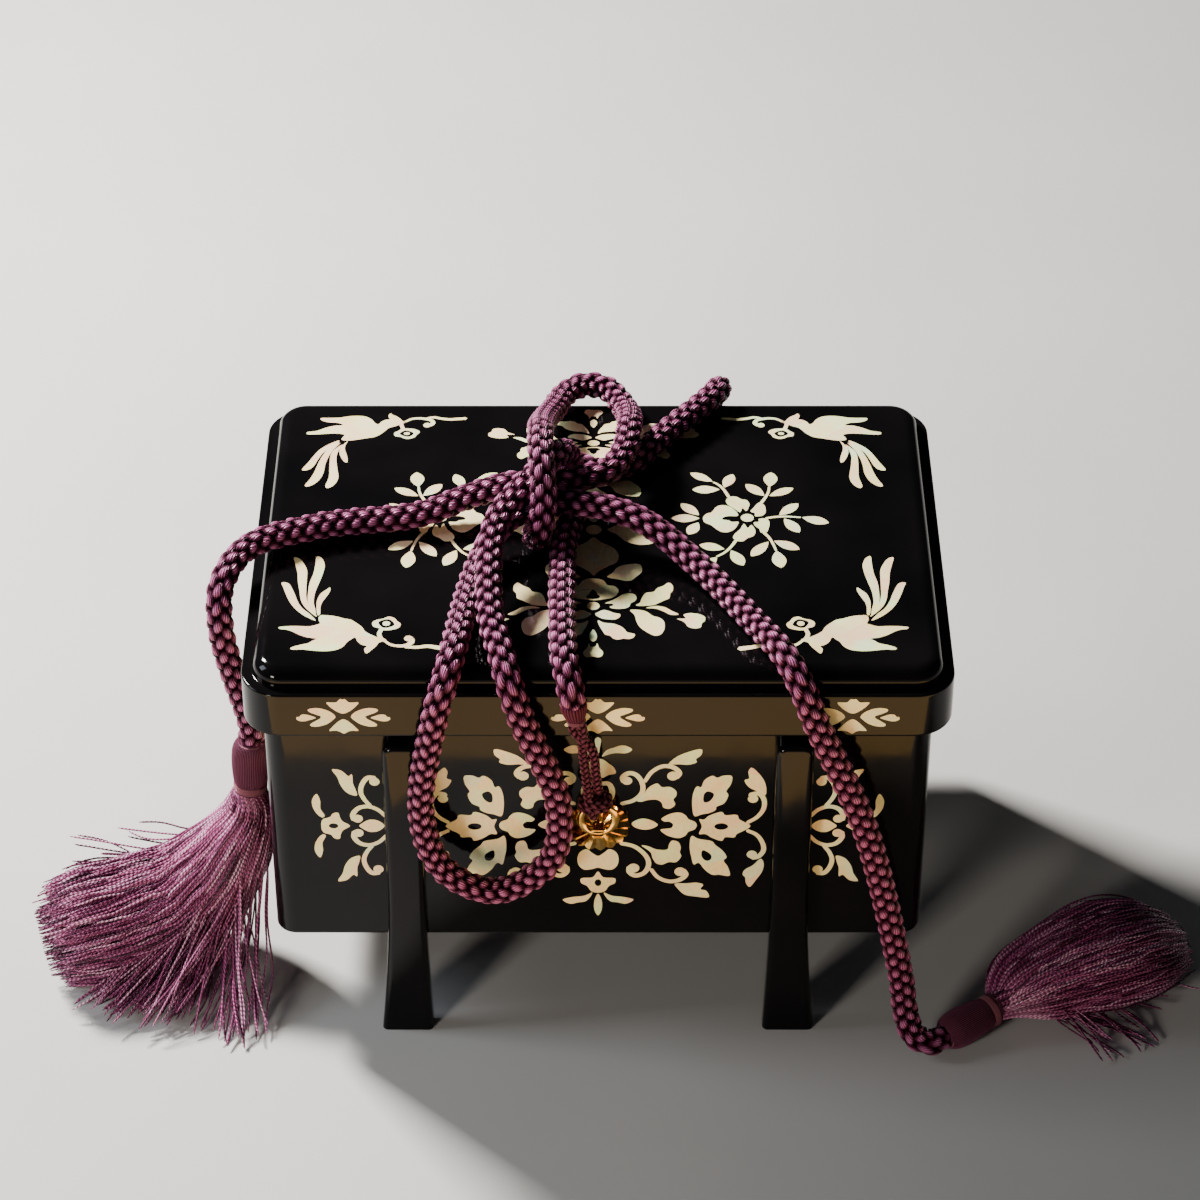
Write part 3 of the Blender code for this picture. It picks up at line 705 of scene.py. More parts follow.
def make_cord(face_name, face, route, tie_route, skirt_route, side, flatness, seed, droop):
    """A thick cord with all that it carries, from the tie at its ring to the tassel at its other end."""
    line = smooth_line(route, 16)
    cord, centres, length = braided(
        "silk_cord_" + face_name, line, CORD_DIAMETER, SILK,
        columns=8, pitch=5.7, depth=0.38, step=0.5, around=52, lean=0.3,
    )
    ride("plum_silk", cord)
    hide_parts("cord_" + face_name)
    coarse = smooth_line(route, 2)
    whipping, tip = make_whipping("whipping_" + face_name, coarse)
    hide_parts(face_name + "_whipping")
    tie, tie_centres, tie_length = make_tie("tie_" + face_name, tie_route, tip, direction(coarse, True))
    ride("plum_silk", tie)
    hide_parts(face_name + "_ring_tie")
    wrap = make_ring_wrap("ring_wrap_" + face_name, face)
    head, neck, axis = make_head("tassel_bell_" + side, coarse)
    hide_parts("tassel_head_" + side)
    skirt, rng = make_skirt(side, neck, axis, skirt_route, flatness, seed, droop)
    loose = [hanging_threads(f"{kind}_threads_{side}", rng, neck, axis, *rest) for kind, *rest in LOOSE[side]]


# Where the threads beside each skirt end, how many there are and how far they spread
LOOSE = {
    "left": (
        ("hanging", [(-186, -68, 4), (-170, -74, 4), (-154, -75, 5), (-141, -62, 8)], 300, (4, 5, 3)),
        ("loose", [(-150, -80, 1), (-135, -87, 1), (-122, -88, 1), (-120, -72, 3)], 34, (4, 4, 2)),
        ("stray", [(-160, -4, 36), (-178, -10, 30), (-192, -16, 26), (-204, -24, 20)], 12, (3, 4, 3)),
    ),
    "right": (
        ("loose", [(180, -94, 1), (196, -88, 1), (206, -66, 3), (212, -40, 3), (196, -22, 1)], 70, (4, 5, 2)),
    ),
}
# The middle lines of the skirts, with their radius at each point
LEFT_SKIRT = [
    (-127.5, -37.8, 60, 10.5), (-136, -38.4, 43, 15.5), (-150, -39.5, 28, 19),
    (-168, -42.5, 21, 21), (-185, -47, 18.5, 21.5), (-200, -51, 16.5, 19),
]
RIGHT_SKIRT = [
    (152, -73, 9.5, 15), (167, -65, 11.4, 20.5), (184, -57, 12.6, 23.5),
    (200, -49, 11.5, 21), (212, -43.5, 8, 13.5),
]

make_cord("front", -1, FRONT_ROUTE, FRONT_TIE_ROUTE, RIGHT_SKIRT, "right", 0.5, 5, 1.0)
make_cord("back", 1, BACK_ROUTE, BACK_TIE_ROUTE, LEFT_SKIRT, "left", 1.0, 9, 2.0)


# Chest, lid and legs

def rounded_rectangle(inset):
    """The lid's plan, drawn in by the inset, with 15 points round each corner."""
    width, depth = LID_WIDTH - 2 * inset, LID_DEPTH - 2 * inset
    radius = max(LID_CORNER - inset, 1.5)
    points = []
    for cx, cy, start in ((1, 1, 0), (-1, 1, 90), (-1, -1, 180), (1, -1, 270)):
        for turn in np.radians(np.linspace(start, start + 90, 15)):
            x = cx * (width / 2 - radius) + radius * math.cos(turn)
            points.append((x, cy * (depth / 2 - radius) + radius * math.sin(turn)))
    return np.array(points)


def rounding(centre, radius, start, end, steps):
    """Points of a profile round a corner."""
    turn = np.radians(np.linspace(start, end, steps + 1))
    return [(centre[0] - radius * math.cos(t), centre[1] + radius * math.sin(t)) for t in turn]


def loft(name, inner_inset, inner_top, profile):
    """A closed shell whose plan is drawn in by the profile's inset at each height, lined inside."""
    plans = [(rounded_rectangle(inset), z) for inset, z in profile]
    obj = solid_of_rings(name, [np.column_stack([plan, np.full(len(plan), z)]) for plan, z in plans])
    obj.data.materials.append(INSIDE)
    limit = np.array((LID_WIDTH / 2 - inner_inset, LID_DEPTH / 2 - inner_inset, inner_top)) + 0.1
    for polygon in obj.data.polygons:
        corners = np.array([obj.data.vertices[v].co for v in polygon.vertices]) / MM
        inside = (np.abs(corners) < limit).all()
        polygon.material_index = int(inside)
    return obj


lid_inner, chest_inner = LEDGE + LID_WALL, BODY_INSET + BODY_WALL
lid = loft(
    "lacquer_lid", LID_WALL, LID_TOP - LID_TOP_WALL,
    [
        (lid_inner, LID_TOP - LID_TOP_WALL), (lid_inner, LID_STEP), (LID_WALL, LID_STEP),
        (LID_WALL, RIM_BOTTOM + 0.5), *rounding((LID_WALL - 0.5, RIM_BOTTOM + 0.5), 0.5, 180, 270, 4)[1:],
        *rounding((0.7, RIM_BOTTOM + 0.7), 0.7, -90, 0, 5), (0, RIM_BOTTOM + 1.2), (0, RIM_TOP - 1.2),
        *rounding((0.7, RIM_TOP - 0.7), 0.7, 0, 90, 5),
        (LEDGE - 0.6, RIM_TOP), (LEDGE - 0.15, RIM_TOP + 0.15), (LEDGE, RIM_TOP + 0.6),
        *rounding((LEDGE + SHOULDER, LID_TOP - SHOULDER), SHOULDER, 0, 90, 12),
        (LEDGE + SHOULDER + 0.8, LID_TOP),
    ],
)
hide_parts("lid")

chest = loft(
    "lacquer_chest", chest_inner, BODY_TOP,
    [
        (chest_inner, BODY_BOTTOM + BODY_FLOOR), (chest_inner, BODY_TOP - 0.7),
        *rounding((chest_inner - 0.7, BODY_TOP - 0.7), 0.7, 180, 90, 4)[1:],
        *rounding((BODY_INSET + 0.8, BODY_TOP - 0.8), 0.8, 90, 0, 5),
        (BODY_INSET, BODY_TOP - 1.4), (BODY_INSET, BODY_BOTTOM + 1.8),
        *rounding((BODY_INSET + 1.2, BODY_BOTTOM + 1.2), 1.2, 0, -90, 6),
    ],
)
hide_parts("chest_body")


def make_leg(name, side, face):
    """A flat board with a flared foot, and its outer edges rounded."""
    half, flare_height, round_top, edge = 6.5, 66, 4.0, 2.2
    heights = np.linspace(0, flare_height, 30)
    flare = (1 - heights / flare_height) ** 1.7
    outer = [(half + 3.9 * f, h) for f, h in zip(flare, heights)]
    inner = [(-half - 1.6 * f, h) for f, h in zip(flare, heights)][::-1]
    arcs = [
        (x + round_top * math.cos(t), LEG_TOP - round_top + round_top * math.sin(t))
        for x, start in ((half - round_top, 0), (round_top - half, 90))
        for t in np.radians(np.linspace(start, start + 90, 10))
    ]
    outline = np.array(outer + arcs + inner)
    tangent = unit(np.roll(outline, -1, axis=0) - np.roll(outline, 1, axis=0))
    normal = np.stack([-tangent[:, 1], tangent[:, 0]], axis=1)
    foot = outline[:, 1] < 0.01
    normal[foot] = np.stack([-np.sign(outline[foot, 0]), np.zeros(foot.sum())], axis=1)
    profile = [(0, 0), (0, LEG_THICK - edge)]
    for t in np.radians(np.linspace(12, 90, 8)):
        profile.append((edge * (1 - math.cos(t)), LEG_THICK - edge + edge * math.sin(t)))
    rings = []
    for inset, depth in profile:
        x, z = (outline + normal * inset).T
        y = np.full(len(x), face * (MOUNT_FACE + depth))
        rings.append(np.column_stack([side * (LEG_PLACE + x), y, z]))
    return solid_of_rings(name, rings)


for face, face_name in ((-1, "front"), (1, "back")):
    for side, side_name in ((-1, "left"), (1, "right")):
        leg = make_leg(f"lacquer_leg_{face_name}_{side_name}", side, face)
        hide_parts(f"leg_{face_name}_{side_name}")


# Gilt fittings

def block(width, length, place):
    """A square bar that lies along y at the fittings' height, with its middle at the place."""
    bpy.ops.mesh.primitive_cube_add(size=1)
    bar = bpy.context.object
    bar.data.transform(Matrix.Diagonal((width * MM, length * MM, width * MM, 1)))
    bar.data.transform(Matrix.Translation((0, place * MM, FITTING_HEIGHT * MM)))
    return bar


def make_plate(name, face):
    """A fan of fluted petals round a square post, whose eye holds the ring."""
    rings, petals = 26, 17
    turn = angles(petals * 14)
    flute = np.abs((turn * petals / math.pi) % 2 - 1)
    grid = []
    for s in np.linspace(0, 1, rings):
        radius = PLATE_RADIUS * s * (1 - 0.045 * (1 - flute) ** 2 * s**3)
        fade = np.clip(s * 1.7 - 0.2, 0, 1)
        height = np.maximum(0.9 + 1.1 * (1 - s**2) - 1.05 * fade * (1 - flute) + 0.5 * fade, 0.15)
        places = (radius * np.cos(turn), face * (MOUNT_FACE + height), FITTING_HEIGHT + radius * np.sin(turn))
        grid.append(np.stack(places, axis=1))
    edge = grid[-1].copy()
    edge[:, 1] = face * MOUNT_FACE
    plate = grid_mesh(name, np.array([*grid, edge]), GILT)
    plate.data.set_sharp_from_angle(angle=math.radians(25))
    post = block(POST_WIDTH, POST_LENGTH, face * (MOUNT_FACE + 1.4 + POST_LENGTH / 2))
    post.name = name + "_post"
    post.data.materials.append(GILT)
    bpy.ops.mesh.primitive_cylinder_add(vertices=32, radius=1.35 * MM, depth=8 * MM)
    eye = bpy.context.object
    eye.data.transform(Matrix.Rotation(math.radians(90), 4, "Y"))
    eye.data.transform(Matrix.Translation((0, face * (MOUNT_FACE + EYE_REACH) * MM, FITTING_HEIGHT * MM)))
    hollow = block(2.6, 2, face * (MOUNT_FACE + 2.05 + POST_LENGTH))
    for cutter in (eye, hollow):
        cut = post.modifiers.new("cut", "BOOLEAN")
        cut.operation, cut.solver, cut.object = "DIFFERENCE", "EXACT", cutter
    round_edges = post.modifiers.new("edges", "BEVEL")
    round_edges.width, round_edges.segments, round_edges.limit_method = 0.35 * MM, 3, "ANGLE"
    bpy.context.view_layer.update()
    graph = bpy.context.evaluated_depsgraph_get()
    finished = bpy.data.meshes.new_from_object(post.evaluated_get(graph))
    post.modifiers.clear()
    post.data = finished
    post.data.shade_smooth()
    post.data.set_sharp_from_angle(angle=math.radians(35))
    for cutter in (eye, hollow):
        bpy.data.objects.remove(cutter)
    ride("gilt_brass", plate, post)
    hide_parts(name.replace("gilt_", "") + "_ring_plate")


def make_ring(name, face):
    """A ring that is thicker at its sides than at its top and bottom."""
    turn, section = angles(96)[:, None], angles(20)
    wire = RING_WIRE + 0.4 * np.cos(turn) ** 2
    radius = RING_RADIUS + RING_WIRE - wire + wire * np.cos(section)
    y = face * (MOUNT_FACE + EYE_REACH) + 0.85 * RING_WIRE * np.sin(section)
    z = FITTING_HEIGHT + RING_RADIUS + radius * np.sin(turn)
    grid = np.stack([radius * np.cos(turn), np.broadcast_to(y, radius.shape), z], axis=-1)
    ring = grid_mesh("gilt_ring_" + name, np.concatenate([grid, grid[:1]]), GILT, caps=False)
    ride("gilt_brass", ring)
    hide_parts(name + "_ring")


for face, name in ((-1, "front"), (1, "back")):
    make_plate("gilt_" + name, face)
    make_ring(name, face)

# Shell inlay, drawn flat in millimetres and laid flush on the lacquer

def pairs(numbers):
    """The numbers as points x, y."""
    return np.array(numbers, float).reshape(-1, 2)


def closed(points):
    """A smooth closed outline through the points, with four samples to a stretch."""
    line = smooth_line([points[-1], *points, points[0], points[1]], 4)
    return line[4:4 * (len(points) + 1)]


def shape(*numbers):
    """A smooth closed outline through the points x, y, x, y and so on."""
    return closed(pairs(numbers))


def mirrored(axis, centre, *numbers):
    """A smooth outline from one half, which starts on the middle line and may end on it.

    The middle line is where x, for axis 0, or y, for axis 1, is the centre.
    """
    half = pairs(numbers)
    other = half[::-1].copy()
    other[:, axis] = 2 * centre - other[:, axis]
    return closed(np.concatenate([half, other[half[::-1, axis] != centre]]))


def disc(x, y, radius, height=None):
    turn = np.radians(np.arange(0, 360, 18))
    return np.column_stack([x + radius * np.cos(turn), y + (height or radius) * np.sin(turn)])


def stroke(numbers, start, end):
    """A curved line whose width goes from start to end, with round ends."""
    line = smooth_line(pairs(numbers), 5)
    tangent = unit(np.gradient(line, axis=0))
    across = np.stack([-tangent[:, 1], tangent[:, 0]], axis=1)
    half = np.linspace(start, end, len(line))[:, None] / 2
    tail = line[0] - tangent[0] * half[0] * 0.8
    tip = line[-1] + tangent[-1] * half[-1] * 0.8
    return np.concatenate([[tail], line + across * half, [tip], (line - across * half)[::-1]])


def leaf(x0, y0, x1, y1, width):
    """A leaf from its base to its pointed tip, widest past the middle."""
    base = np.array((x0, y0), float)
    axis = np.array((x1, y1)) - base
    across = unit(np.array((-axis[1], axis[0])))
    t = np.linspace(0, 1, 15)[:, None]
    half = width / 2 * np.sin(math.pi * t**1.15) ** 0.75
    line = base + axis * t
    return np.concatenate([line + across * half, (line - across * half)[-2:0:-1]])


def motif(*parts):
    """A list of outlines with their holes. A part is an outline, or such a pair already."""
    return [part if isinstance(part, tuple) else (part, []) for part in parts]


def placed(shapes, scale, shift):
    """The outlines and holes, stretched and then moved."""
    return [(outline * scale + shift, [hole * scale + shift for hole in holes]) for outline, holes in shapes]


def flip_x(shapes, centre):
    return placed(shapes, (-1, 1), (2 * centre, 0))


def flip_y(shapes, centre):
    return placed(shapes, (1, -1), (0, 2 * centre))


def moved(shapes, x, y, sx=1.0, sy=1.0):
    return placed(shapes, (sx, sy), (x, y))


def inlay(name, shapes, to_space):
    """One flat piece of shell for each outline, with its holes left open.

    Neighbours lie at slightly different levels, so that no two faces coincide where they overlap.
    """
    verts, faces = [], []
    origin, east, north = (np.array(to_space(*p), float) for p in ((0, 0), (1, 0), (0, 1)))
    outward = np.cross(east - origin, north - origin)
    for place, (outline, holes) in enumerate(shapes):
        loops = [[Vector((*p, 0)) for p in loop] for loop in (outline, *holes)]
        faces += [[len(verts) + i for i in triangle] for triangle in tessellate_polygon(loops)]
        verts += [to_space(p.x, p.y) + outward * INLAY_STEP * (place % 3) for loop in loops for p in loop]
    piece = add_mesh(name, np.array(verts) * MM, [np.array(faces)], SHELL, smooth=False)
    ride("black_lacquer", piece)


# A long-tailed bird with a sprig in its beak, at the front left of the lid
FRONT_BIRD = motif(
    shape(-94.8, -48.7, -92.9, -48.7, -89.8, -49.2, -86.6, -50.5, -84.5, -51.1, -82.4, -52.9, -80.3, -55.3,
          -79.3, -57.4, -77.7, -58.9, -75.6, -60.3, -74.5, -61, -72.4, -62.4, -73.5, -63.2, -74.3, -63.7,
          -75.1, -65.5, -76.4, -67.4, -78.2, -69.5, -78.8, -68.7, -79, -66.8, -78.3, -65.7, -80.1, -64.7,
          -81.6, -62.9, -82.5, -60.8, -83.7, -61.8, -85.1, -63.4, -86.1, -65.5, -88.2, -67.4, -91.4, -68.2,
          -94.5, -68.2, -100.3, -67.4, -103.7, -67.4, -104.1, -66.6, -101.4, -65, -98.2, -63.9, -96.9, -62.6,
          -95.6, -61.6, -98.7, -60.8, -101.4, -59.5, -104, -57.6, -106.1, -56.6, -108.5, -56.1, -108.8, -55.3,
          -106.1, -54.7, -101.9, -54.6, -98.2, -54.7, -96.1, -53.9, -94.8, -53.1, -95.3, -51.6, -95.5, -50),
    shape(-109.4, -30.5, -108.7, -32.9, -107.2, -37.9, -105.3, -42.6, -102.9, -46.3, -99.8, -49.5,
          -96.4, -51.6, -98.7, -47.9, -101.4, -44.7, -103.2, -41, -104.5, -36.8, -105.6, -33.7, -106.9, -31,
          -108.2, -30.3),
    shape(-106, -16, -105.3, -20, -104.3, -24.7, -103.7, -30.5, -102.9, -35.3, -102.2, -40, -100.8, -43.7,
          -98.2, -47.4, -96.1, -49.5, -98.2, -44.7, -99.5, -42.1, -100.4, -38.4, -100.7, -33.2, -100.8, -27.9,
          -101.1, -23.2, -102.2, -20, -104.2, -16.6),
    shape(-98, -15.3, -98.3, -20, -98.7, -25.3, -99.7, -30.5, -99.9, -35.8, -99.7, -41, -98.7, -44.2,
          -96.6, -47.9, -96.9, -45.3, -97.6, -42.1, -97.7, -38.4, -97.2, -34.2, -96.4, -30.5, -95.6, -26.3,
          -95.1, -22.6, -95.1, -20, -96.4, -16.4),
    shape(-92.5, -33.2, -94, -34.7, -95.6, -36.8, -96.5, -40, -96.6, -43.2, -95.8, -48.7, -95.2, -48.4,
          -95.2, -44.2, -94.8, -41.6, -93.7, -38.9, -92.7, -36.3, -92.3, -34.5),
    stroke((-73.7, -56.4, -74.4, -58.9, -73.5, -61.6, -72.4, -62.6), 1.5, 1.5),
    stroke((-72.4, -62.6, -70.3, -64.7, -67.7, -65.4, -65.6, -65.3, -64.3, -64.7, -63.2, -63.2, -63.5, -61.6),
           1, 2.2),
    disc(-64.3, -61.4, 1.5),
    stroke((-65.2, -66, -61.4, -66.2, -57.7, -65.6, -54.5, -66.3, -51, -67), 1.3, 2.2),
    disc(-72.2, -53.2, 1.3),
    (shape(-71.4, -49.4, -69.4, -50.4, -68.6, -51.8, -67.3, -53.4, -67.8, -55.4, -70, -56.6, -72.9, -56.9,
           -74.6, -55.8, -76.6, -54.8, -77, -52.6, -75.6, -51.2, -73.6, -50.6), [shape(-71.4, -50.9,
           -69.4, -54, -73, -55.6, -74.9, -52.4)]),
)

# The bird at the back left of the lid
BACK_BIRD = motif(
    shape(-101.5, 67.8, -101.1, 66.5, -98.2, 65.2, -95.1, 64.9, -93.7, 64.2, -93.1, 63.5, -96.1, 63.1,
          -99.3, 61.8, -102.4, 59.9, -106, 58.9, -105.8, 57.8, -103.5, 57.6, -98.2, 58.1, -94, 58.1,
          -92.2, 57.3, -92.9, 55.7, -93.1, 54.4, -91.4, 53.8, -87.7, 54.3, -84.5, 55.2, -81.4, 56,
          -79.3, 57.6, -77.7, 59.7, -76.1, 61.8, -74, 62.8, -71.9, 64.2, -70.1, 65.5, -71.4, 66, -72.4, 67.6,
          -74, 69.2, -75.2, 69.9, -76, 70.8, -76.7, 69.9, -76.5, 68.1, -76.1, 67.3, -77.7, 66.8, -79.3, 65.5,
          -80.2, 64, -81.4, 64.7, -82.4, 66.5, -84, 68.2, -85.6, 69, -88.7, 69.3, -91.4, 69, -94.5, 68.2,
          -98.2, 68),
    shape(-94, 53.9, -98.2, 51, -100.8, 48.1, -102.7, 44.4, -104.5, 40.2, -106.4, 35.7, -105.3, 35.4,
          -103.5, 36.3, -102.2, 38.4, -101.1, 41.8, -99.5, 46, -97.2, 49.2, -94.5, 51.8),
    shape(-97.4, 49.2, -99.5, 44.4, -100.8, 39.7, -101.9, 34.4, -103.2, 30.2, -104.8, 26, -104, 25.6,
          -101.9, 26.8, -100.1, 29.2, -98.7, 33.4, -98.2, 39.2, -97.4, 43.4, -95.8, 48.1, -93.5, 52.5),
    shape(-95.8, 47.6, -96.6, 44.4, -96.7, 39.2, -96.5, 31.3, -97.4, 25.5, -96.6, 24.7, -95.1, 25.7,
          -93.7, 28.1, -93.1, 31.3, -93.5, 34.9, -94.1, 39.2, -94.4, 44.4, -93.7, 48.1, -92.7, 51.3),
    shape(-90.8, 53.6, -91.6, 50.7, -91.6, 48.1, -90.8, 44.9, -90.3, 41.8, -90.5, 40.3, -91.4, 40.7,
          -92.9, 43.9, -93.5, 46.5, -93.2, 49.7),
    stroke((-71.9, 64.4, -71.4, 62.1, -70.8, 60.8), 1.4, 1.4),
    stroke((-70.6, 65.5, -68.2, 67.3, -65.6, 67.8, -62.9, 67.3, -60.8, 66.3, -60.3, 64.7, -61.4, 63.4),
           1, 1.8),
    disc(-62.4, 63.5, 1.4),
    stroke((-63, 67.5, -60.3, 68.4, -57.2, 67.6, -54, 67.1, -51.4, 67.4, -48.5, 67.7), 1.2, 1.6),
    disc(-69.6, 58.2, 1.1, 0.9),
    (shape(-68.7, 54.9, -66.6, 56, -66, 57.4, -64.9, 59.2, -66.4, 60.8, -69, 61.4, -71.6, 61.2, -72.8, 59.9,
           -74.2, 58.6, -73.8, 56.6, -71.8, 56.1, -70.6, 55.2), [shape(-69, 56.2, -67.1, 58.4, -70.2, 60.2,
           -72.2, 58.1)]),
)

# The flower spray on the right of the lid
SPRAY_LEAVES = (
    (41, 28.6, 33.1, 33.9, 3.8), (45, 25.1, 48.4, 33.1, 4.2), (43.4, 23.9, 33.6, 23.75, 4.6),
    (61.25, 25.5, 62.15, 34.25, 5), (59.25, 20.1, 52.75, 27.1, 4.3), (61, 20, 69.75, 24.75, 3.9),
    (64.1, 8.5, 71.1, 15.5, 4.2), (65.75, 6.6, 70.9, -1.6, 4.4), (72.1, 7.25, 81.5, 4, 4.5),
    (61.75, -6.5, 70.5, -11.5, 4.4), (62.4, -12.25, 63.75, -22, 5), (59.75, -7, 53.4, -15.4, 4.2),
    (46.5, -12, 50.6, -20.75, 4.6), (44.25, -11.25, 35.5, -8.75, 4.4), (41.5, -16, 36, -22, 4.2),
    (35.75, 8.5, 29.4, 15.5, 4.2), (35.9, 6.75, 25.9, 6.75, 4.6), (35.4, 4.25, 31.75, -2.75, 4.4),
)
SPRAY = motif(
    disc(52.75, 7, 2.3),
    shape(50.25, 10.25, 48.5, 12.25, 46, 15, 45.5, 17.5, 47, 19.5, 49.25, 19.5, 51, 18, 52.75, 17.5,
          53.75, 15.5, 53.5, 13.5, 52.5, 11, 51.25, 12.75),
    shape(54, 10.75, 55, 12.75, 56, 14.5, 57.25, 16, 59, 14.5, 59.25, 10, 58, 8.25, 55.5, 8, 55.5, 9.75),
    shape(56.75, 6.25, 59.5, 6.5, 60.5, 4.5, 60, 0.5, 59.25, -1.5, 57.25, -1.5, 56.75, 0.5, 55.25, 2.5,
          55, 4.25, 56.75, 4.75),
    shape(51.5, 3.5, 50, 0.25, 47.75, -3, 47.5, -5, 48.75, -6.5, 50.75, -6.75, 52.75, -4.75, 54.5, -3.75,
          55.4, -1.5, 55, 1, 54, 2.75, 52.75, 1),
    stroke((46.5, 19.5, 45, 23.5, 43.25, 26.5, 41.4, 28.25), 1.2, 0.8),
    stroke((57.75, 15.5, 59.5, 19, 60.75, 22.5, 61.1, 25.5), 1.2, 0.8),
    stroke((59.5, 6.75, 62.5, 7.5, 66.5, 7.75, 71.5, 7.25), 1.2, 0.8),
    stroke((58.25, -1.5, 60, -4.5, 61.25, -8, 62.25, -12), 1.2, 0.8),
    stroke((48.25, -6.5, 46.5, -10, 44, -13.5, 41.5, -15.5), 1.2, 0.8),
    *(leaf(*each) for each in SPRAY_LEAVES),
    shape(49.5, 8.25, 48.5, 11.5, 46.5, 13.75, 44, 14.5, 42, 13.5, 40.75, 11.25, 40, 10.1, 38.25, 9.25,
          37.1, 7, 37.5, 4.5, 40, 2.5, 41.5, 0.5, 43.5, -1.25, 45.5, -1.5, 48, 0.25, 49.25, 3, 49.6, 4.6,
          47.3, 4.6, 46, 5.5, 44, 6, 44, 7, 46, 8),
)

# The right half of the flower cross
CROSS_MIDDLE = -1.65
HALF_CROSS = motif(
    shape(2.5, -42, 5, -40.25, 7, -38.5, 9, -36.75, 11, -36.4, 12.75, -37.25, 13.25, -39.25, 12.5, -41,
          11.25, -42, 10.75, -43.75, 9.5, -44.75, 7, -45.1, 4.75, -44.75, 4, -44, 5.25, -43.1, 5, -42.3),
    shape(13, -43.25, 14.5, -41.5, 15, -39.5, 16.5, -36.25, 19.25, -35.5, 20.5, -33.5, 22.5, -32.25,
          24.5, -30.5, 25.75, -32, 25.75, -35, 24.9, -36.5, 24.5, -39.25, 23, -40.25, 21, -41.75, 19, -43),
    shape(16.5, -44.6, 20, -43.5, 23, -44.3, 25, -46, 27.6, -48.2, 25, -48.4, 22.5, -46.6, 20, -45.1),
    shape(27, -50.6, 30, -50.25, 29.25, -48.5, 31, -47.5, 34.5, -48, 36.5, -49.5, 36.5, -51.75, 35.5, -53,
          35, -55.25, 33, -55.9, 30.75, -55, 29.5, -52.5, 27.5, -51),
    shape(11, -45.75, 15, -45.9, 17, -47, 18.75, -49, 21, -50, 22.5, -52, 22.75, -55, 22.25, -57.5,
          21.25, -59.25, 19.5, -59.9, 17, -58.25, 14.5, -55.5, 13.25, -52.5, 12.5, -48.5),
    shape(2, -45.75, 4, -46.5, 5.75, -47.5, 7.5, -48, 7.5, -49.5, 6, -50.9, 4, -51, 1, -50.25, -1, -48,
          0, -47),
    shape(0, -51.5, 2, -52.75, 5, -53.25, 7.5, -54.5, 9, -56.25, 10, -58, 12.5, -59, 12.25, -60.5, 11, -61.6,
          8.5, -61.5, 6.75, -62, 5, -61.25, 4.25, -60, 2.5, -59.25, 1.5, -57, 0.5, -54.5),
)

CROSS = motif(
    *HALF_CROSS,
    *flip_x(HALF_CROSS, CROSS_MIDDLE),
    disc(-1.65, -43.5, 2.2),
    mirrored(0, CROSS_MIDDLE, -1.65, -56.4, -0.4, -59.5, -0.6, -62, -1.65, -63.1),
    shape(-0.25, -64, 0.4, -66.5, 1.6, -68.5, 1.5, -70.5, 0.3, -71.6, -1.65, -71.3, -3.6, -71.6, -4.8, -70.5,
          -4.9, -68.5, -3.7, -66.5, -3.05, -64, -2.5, -65.6, -1.65, -66, -0.8, -65.6),
    (shape(-6.9, -32, -5.4, -29.5, -3.7, -28.3, -1.65, -28, 0.4, -28.3, 2.1, -29.5, 3.4, -31.8, 5.6, -32.4,
           7, -34.4, 6.6, -37, 4.9, -38.9, 2.4, -39.7, 0, -40.2, -1.65, -40.3, -3.3, -40.2, -5.7, -39.7,
           -8.2, -38.9, -9.9, -37, -10.3, -34.4, -8.9, -32.4),
     [mirrored(0, CROSS_MIDDLE, -1.65, -34.4, -0.6, -35.6, -0.2, -37, 0.8, -38.2, 0, -39.4)]),
)


def middle_flower():
    """The large flower under the knot: four hearts and four leaves round a disc."""
    heart = motif(
        mirrored(0, 0, 0, -4.5, -2.6, -7.5, -6.6, -10.6, -8.7, -15, -8, -19.5, -4.6, -22.4, -1.5, -25.4,
                 0, -27.6),
    )
    hearts = []
    for turn, stretch in ((0, 0.96), (90, 1.05), (180, 0.96), (270, 1.05)):
        c, s = (math.cos(math.radians(turn)), math.sin(math.radians(turn)))
        hearts += [(outline * (1, stretch) @ np.array([[c, s], [-s, c]]), []) for outline, _ in heart]
    right = motif(
        shape(4.6, -27.2, 6.5, -25, 8, -22, 11, -20.3, 16, -20, 16.8, -24, 16, -25.6, 14.5, -27.5, 13, -29.2,
              11, -29.4, 8.5, -28.6),
    )
    corners = [*right, *flip_x(right, 0)]
    corners += flip_y(corners, 0)
    return moved([*hearts, *corners, (disc(0, 0, 2.8), [])], LID_INLAY_MIDDLE, 0)


# The small flower, about a middle line at 0
HALF_RIM_FLOWER = motif(
    shape(2.6, -0.2, 3.4, 1.25, 5, 2.5, 7.15, 3.4, 9.3, 3.7, 11.7, 3.1, 11.8, 2.5, 10.9, 1.7, 9, 0.8, 7.5, 0,
          7.8, -0.8, 9.3, -1.9, 11.2, -3.4, 11.2, -4.1, 9.65, -4.5, 7.8, -4.2, 5.6, -3.3, 3.7, -1.7),
    shape(9.3, -0.6, 10.9, 0.3, 12.8, 0.9, 14.3, 0.6, 14.8, -0.2, 15.7, -0.3, 15.8, -1.25, 15, -1.9,
          13.4, -2.1, 11.5, -1.6),
)
RIM_FLOWER = motif(
    *HALF_RIM_FLOWER,
    *flip_x(HALF_RIM_FLOWER, 0),
    mirrored(0, 0, 0, 7.4, 0.8, 7.6, 2.15, 6.2, 5.4, 6.1, 4.65, 4.7, 3.4, 3.3, 1.8, 2, 0, 1.25),
    mirrored(0, 0, 0, -1.2, 1.4, -1.9, 2.6, -3.1, 3.8, -4.5, 4.9, -6.25, 2.8, -6.25, 1.5, -6.6, 0, -7.5),
)

